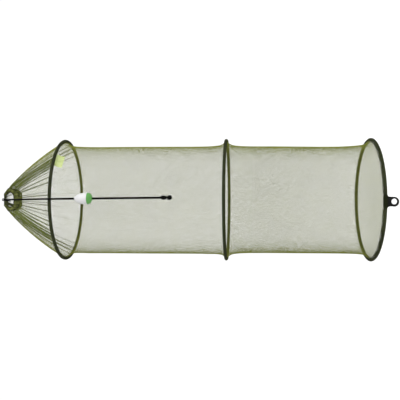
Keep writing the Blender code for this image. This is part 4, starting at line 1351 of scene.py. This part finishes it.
def label():
    """A small bare tab of cloth sewn into the top hem, inside the net."""
    nx, nz = 28, 18
    d = np.linspace(0.0010, 0.0242, nz)
    x = np.linspace(-0.0248, 0.0248, nx)
    dd, xx = np.meshgrid(d, x, indexing="ij")
    r = WAIST_R + flare(dd) - 0.0030
    r = np.minimum(r, 0.1868)
    curl = 0.0012 * ((dd - 0.0010) / 0.0232) ** 2 * np.sin(xx * 120 + 0.5)
    ratio = np.sqrt(np.maximum(r * r - xx * xx, 0)) - curl - 0.0008
    mid = np.array([math.sin(LABEL_PHI), -math.cos(LABEL_PHI), 0.0])
    side = np.array([math.cos(LABEL_PHI), math.sin(LABEL_PHI), 0.0])
    front = mid * ratio[..., None] + side * xx[..., None] + np.stack([0 * dd, 0 * dd, Z_TOP - dd], -1)
    back = front - mid * 0.0005
    pts = np.concatenate([front.reshape(-1, 3), back.reshape(-1, 3)])
    half = nx * nz
    i, j = np.meshgrid(np.arange(nz - 1), np.arange(nx - 1), indexing="ij")
    at = lambda ii, jj, k: k * half + ii * nx + jj
    q = [np.stack([at(i, j, 0), at(i, j + 1, 0), at(i + 1, j + 1, 0), at(i + 1, j, 0)], -1).reshape(-1, 4), np.stack([at(i, j, 1), at(i + 1, j, 1), at(i + 1, j + 1, 1), at(i, j + 1, 1)], -1).reshape(-1, 4)]
    k = np.arange(nz - 1)
    for jj in (0, nx - 1):
        q.append(np.stack([at(k, jj, 0), at(k + 1, jj, 0), at(k + 1, jj, 1), at(k, jj, 1)], -1))
    k = np.arange(nx - 1)
    for ii in (0, nz - 1):
        q.append(np.stack([at(ii, k, 0), at(ii, k + 1, 0), at(ii, k + 1, 1), at(ii, k, 1)], -1))
    return fix_outwards(new_object("label_tab", mesh_from("label_tab", pts, np.concatenate(q)), LABEL, sharp=60))


label_piece = label()

# ---------------------------------------------------------------- what moves with what
ride = {
    "top_ring": [*upper, top_tube, top_hem, top_collar, label_piece],
    "middle_ring": [*lower, mid_tube, mid_hem, mid_collar],
    "bottom_ring": [bottom, bottom_edge, low_tube, low_hem, low_shade_strip],
    "lug": [lug_piece, boot_piece, boot_twine],
    "neck": [mouth, mouth_stitch, draw, hang, strand, bunches, back_net],
    "float_line": [tail_lower, knot_a, knot_b],
    "float": [white, green, liner],
}
for body, pieces in ride.items():
    for o in pieces:
        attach(o, body)

for o in upper:
    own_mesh(o)
for o in lower:
    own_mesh(o)
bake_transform(neck)
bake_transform(tail_upper)

for piece, stands_for, slot in (
    *((o, ["upper_net"], "net") for o in upper),
    *((o, ["lower_net"], "net") for o in lower),
    (bottom, ["bottom_net"], "net"),
    (bottom_edge, ["bottom_net"], "hem"),
    (neck, ["neck_net"], "net"),
    (mouth, ["neck_hem"], "hem"),
    (mouth_stitch, [], "hem"),
    (draw, ["draw_cord"], "cord"),
    (hang, ["hang_loop"], "cord"),
    (strand, [], "net"),
    (bunches, ["neck_hem"], "hem"),
    (back_net, [], "net"),
    (tail_upper, ["tail_upper"], "cord"),
    (tail_lower, ["tail_lower"], "cord"),
    (knot_a, ["stopper_knot"], "cord"),
    (knot_b, ["end_knot"], "cord"),
    (white, ["float_nose"], "foam_white"),
    (green, ["float_end"], "foam_green"),
    (liner, ["float_tube"], "liner"),
    (top_tube, ["top_hoop"], "tube"),
    (mid_tube, ["middle_hoop"], "tube"),
    (low_tube, ["bottom_hoop"], "tube"),
    (top_hem, ["top_sleeve"], "hem"),
    (mid_hem, ["middle_sleeve"], "hem"),
    (low_hem, ["bottom_sleeve"], "hem"),
    (low_shade_strip, ["bottom_sleeve"], "hem"),
    (top_collar, ["top_ferrule"], "tube"),
    (mid_collar, ["middle_ferrule"], "tube"),
    (lug_piece, ["eye_lug"], "lug"),
    (boot_piece, ["lug_boot"], "hem"),
    (boot_twine, [], "hem"),
    (label_piece, ["label"], "label"),
):
    if stands_for:
        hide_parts(*stands_for)

# the frame's own steel wires stay, inside the hoop tubes
for name in ("top_hoop_wire", "middle_hoop_wire", "bottom_hoop_wire"):
    o = nodes[name]
    for s in o.material_slots:
        s.link = "OBJECT"
        s.material = STEEL


# ---------------------------------------------------------------- light and floor
world = bpy.data.worlds.new("studio")
world.use_nodes = True
world.node_tree.nodes["Background"].inputs["Color"].default_value = (1.0, 1.0, 1.0, 1.0)
world.node_tree.nodes["Background"].inputs["Strength"].default_value = 1.05
bpy.context.scene.world = world

floor_mesh = bpy.data.meshes.new("floor")
floor_mesh.from_pydata([(-15, -15, -1.46), (15, -15, -1.46), (15, 15, -1.46), (-15, 15, -1.46)], [], [(0, 1, 2, 3)])
floor = bpy.data.objects.new("floor", floor_mesh)
bpy.context.scene.collection.objects.link(floor)
floor_mat, ft, fp = node_material("pale_floor", 0.9, 0.1)
fp.inputs["Base Color"].default_value = (0.98, 0.98, 0.98, 1.0)
floor_mesh.materials.append(floor_mat)

key = bpy.data.lights.new("key", "AREA")
key.shape = "RECTANGLE"
key.size, key.size_y = 2.4, 2.4
key.energy = 75.0
key_obj = bpy.data.objects.new("key", key)
key_obj.location = (1.9, -2.2, 0.9)
key_obj.rotation_mode = "QUATERNION"
key_obj.rotation_quaternion = (Vector((0, 0, -0.65)) - key_obj.location).to_track_quat("-Z", "Y")
bpy.context.scene.collection.objects.link(key_obj)

bpy.context.scene.view_settings.view_transform = "Standard"
bpy.context.scene.view_settings.look = "None"
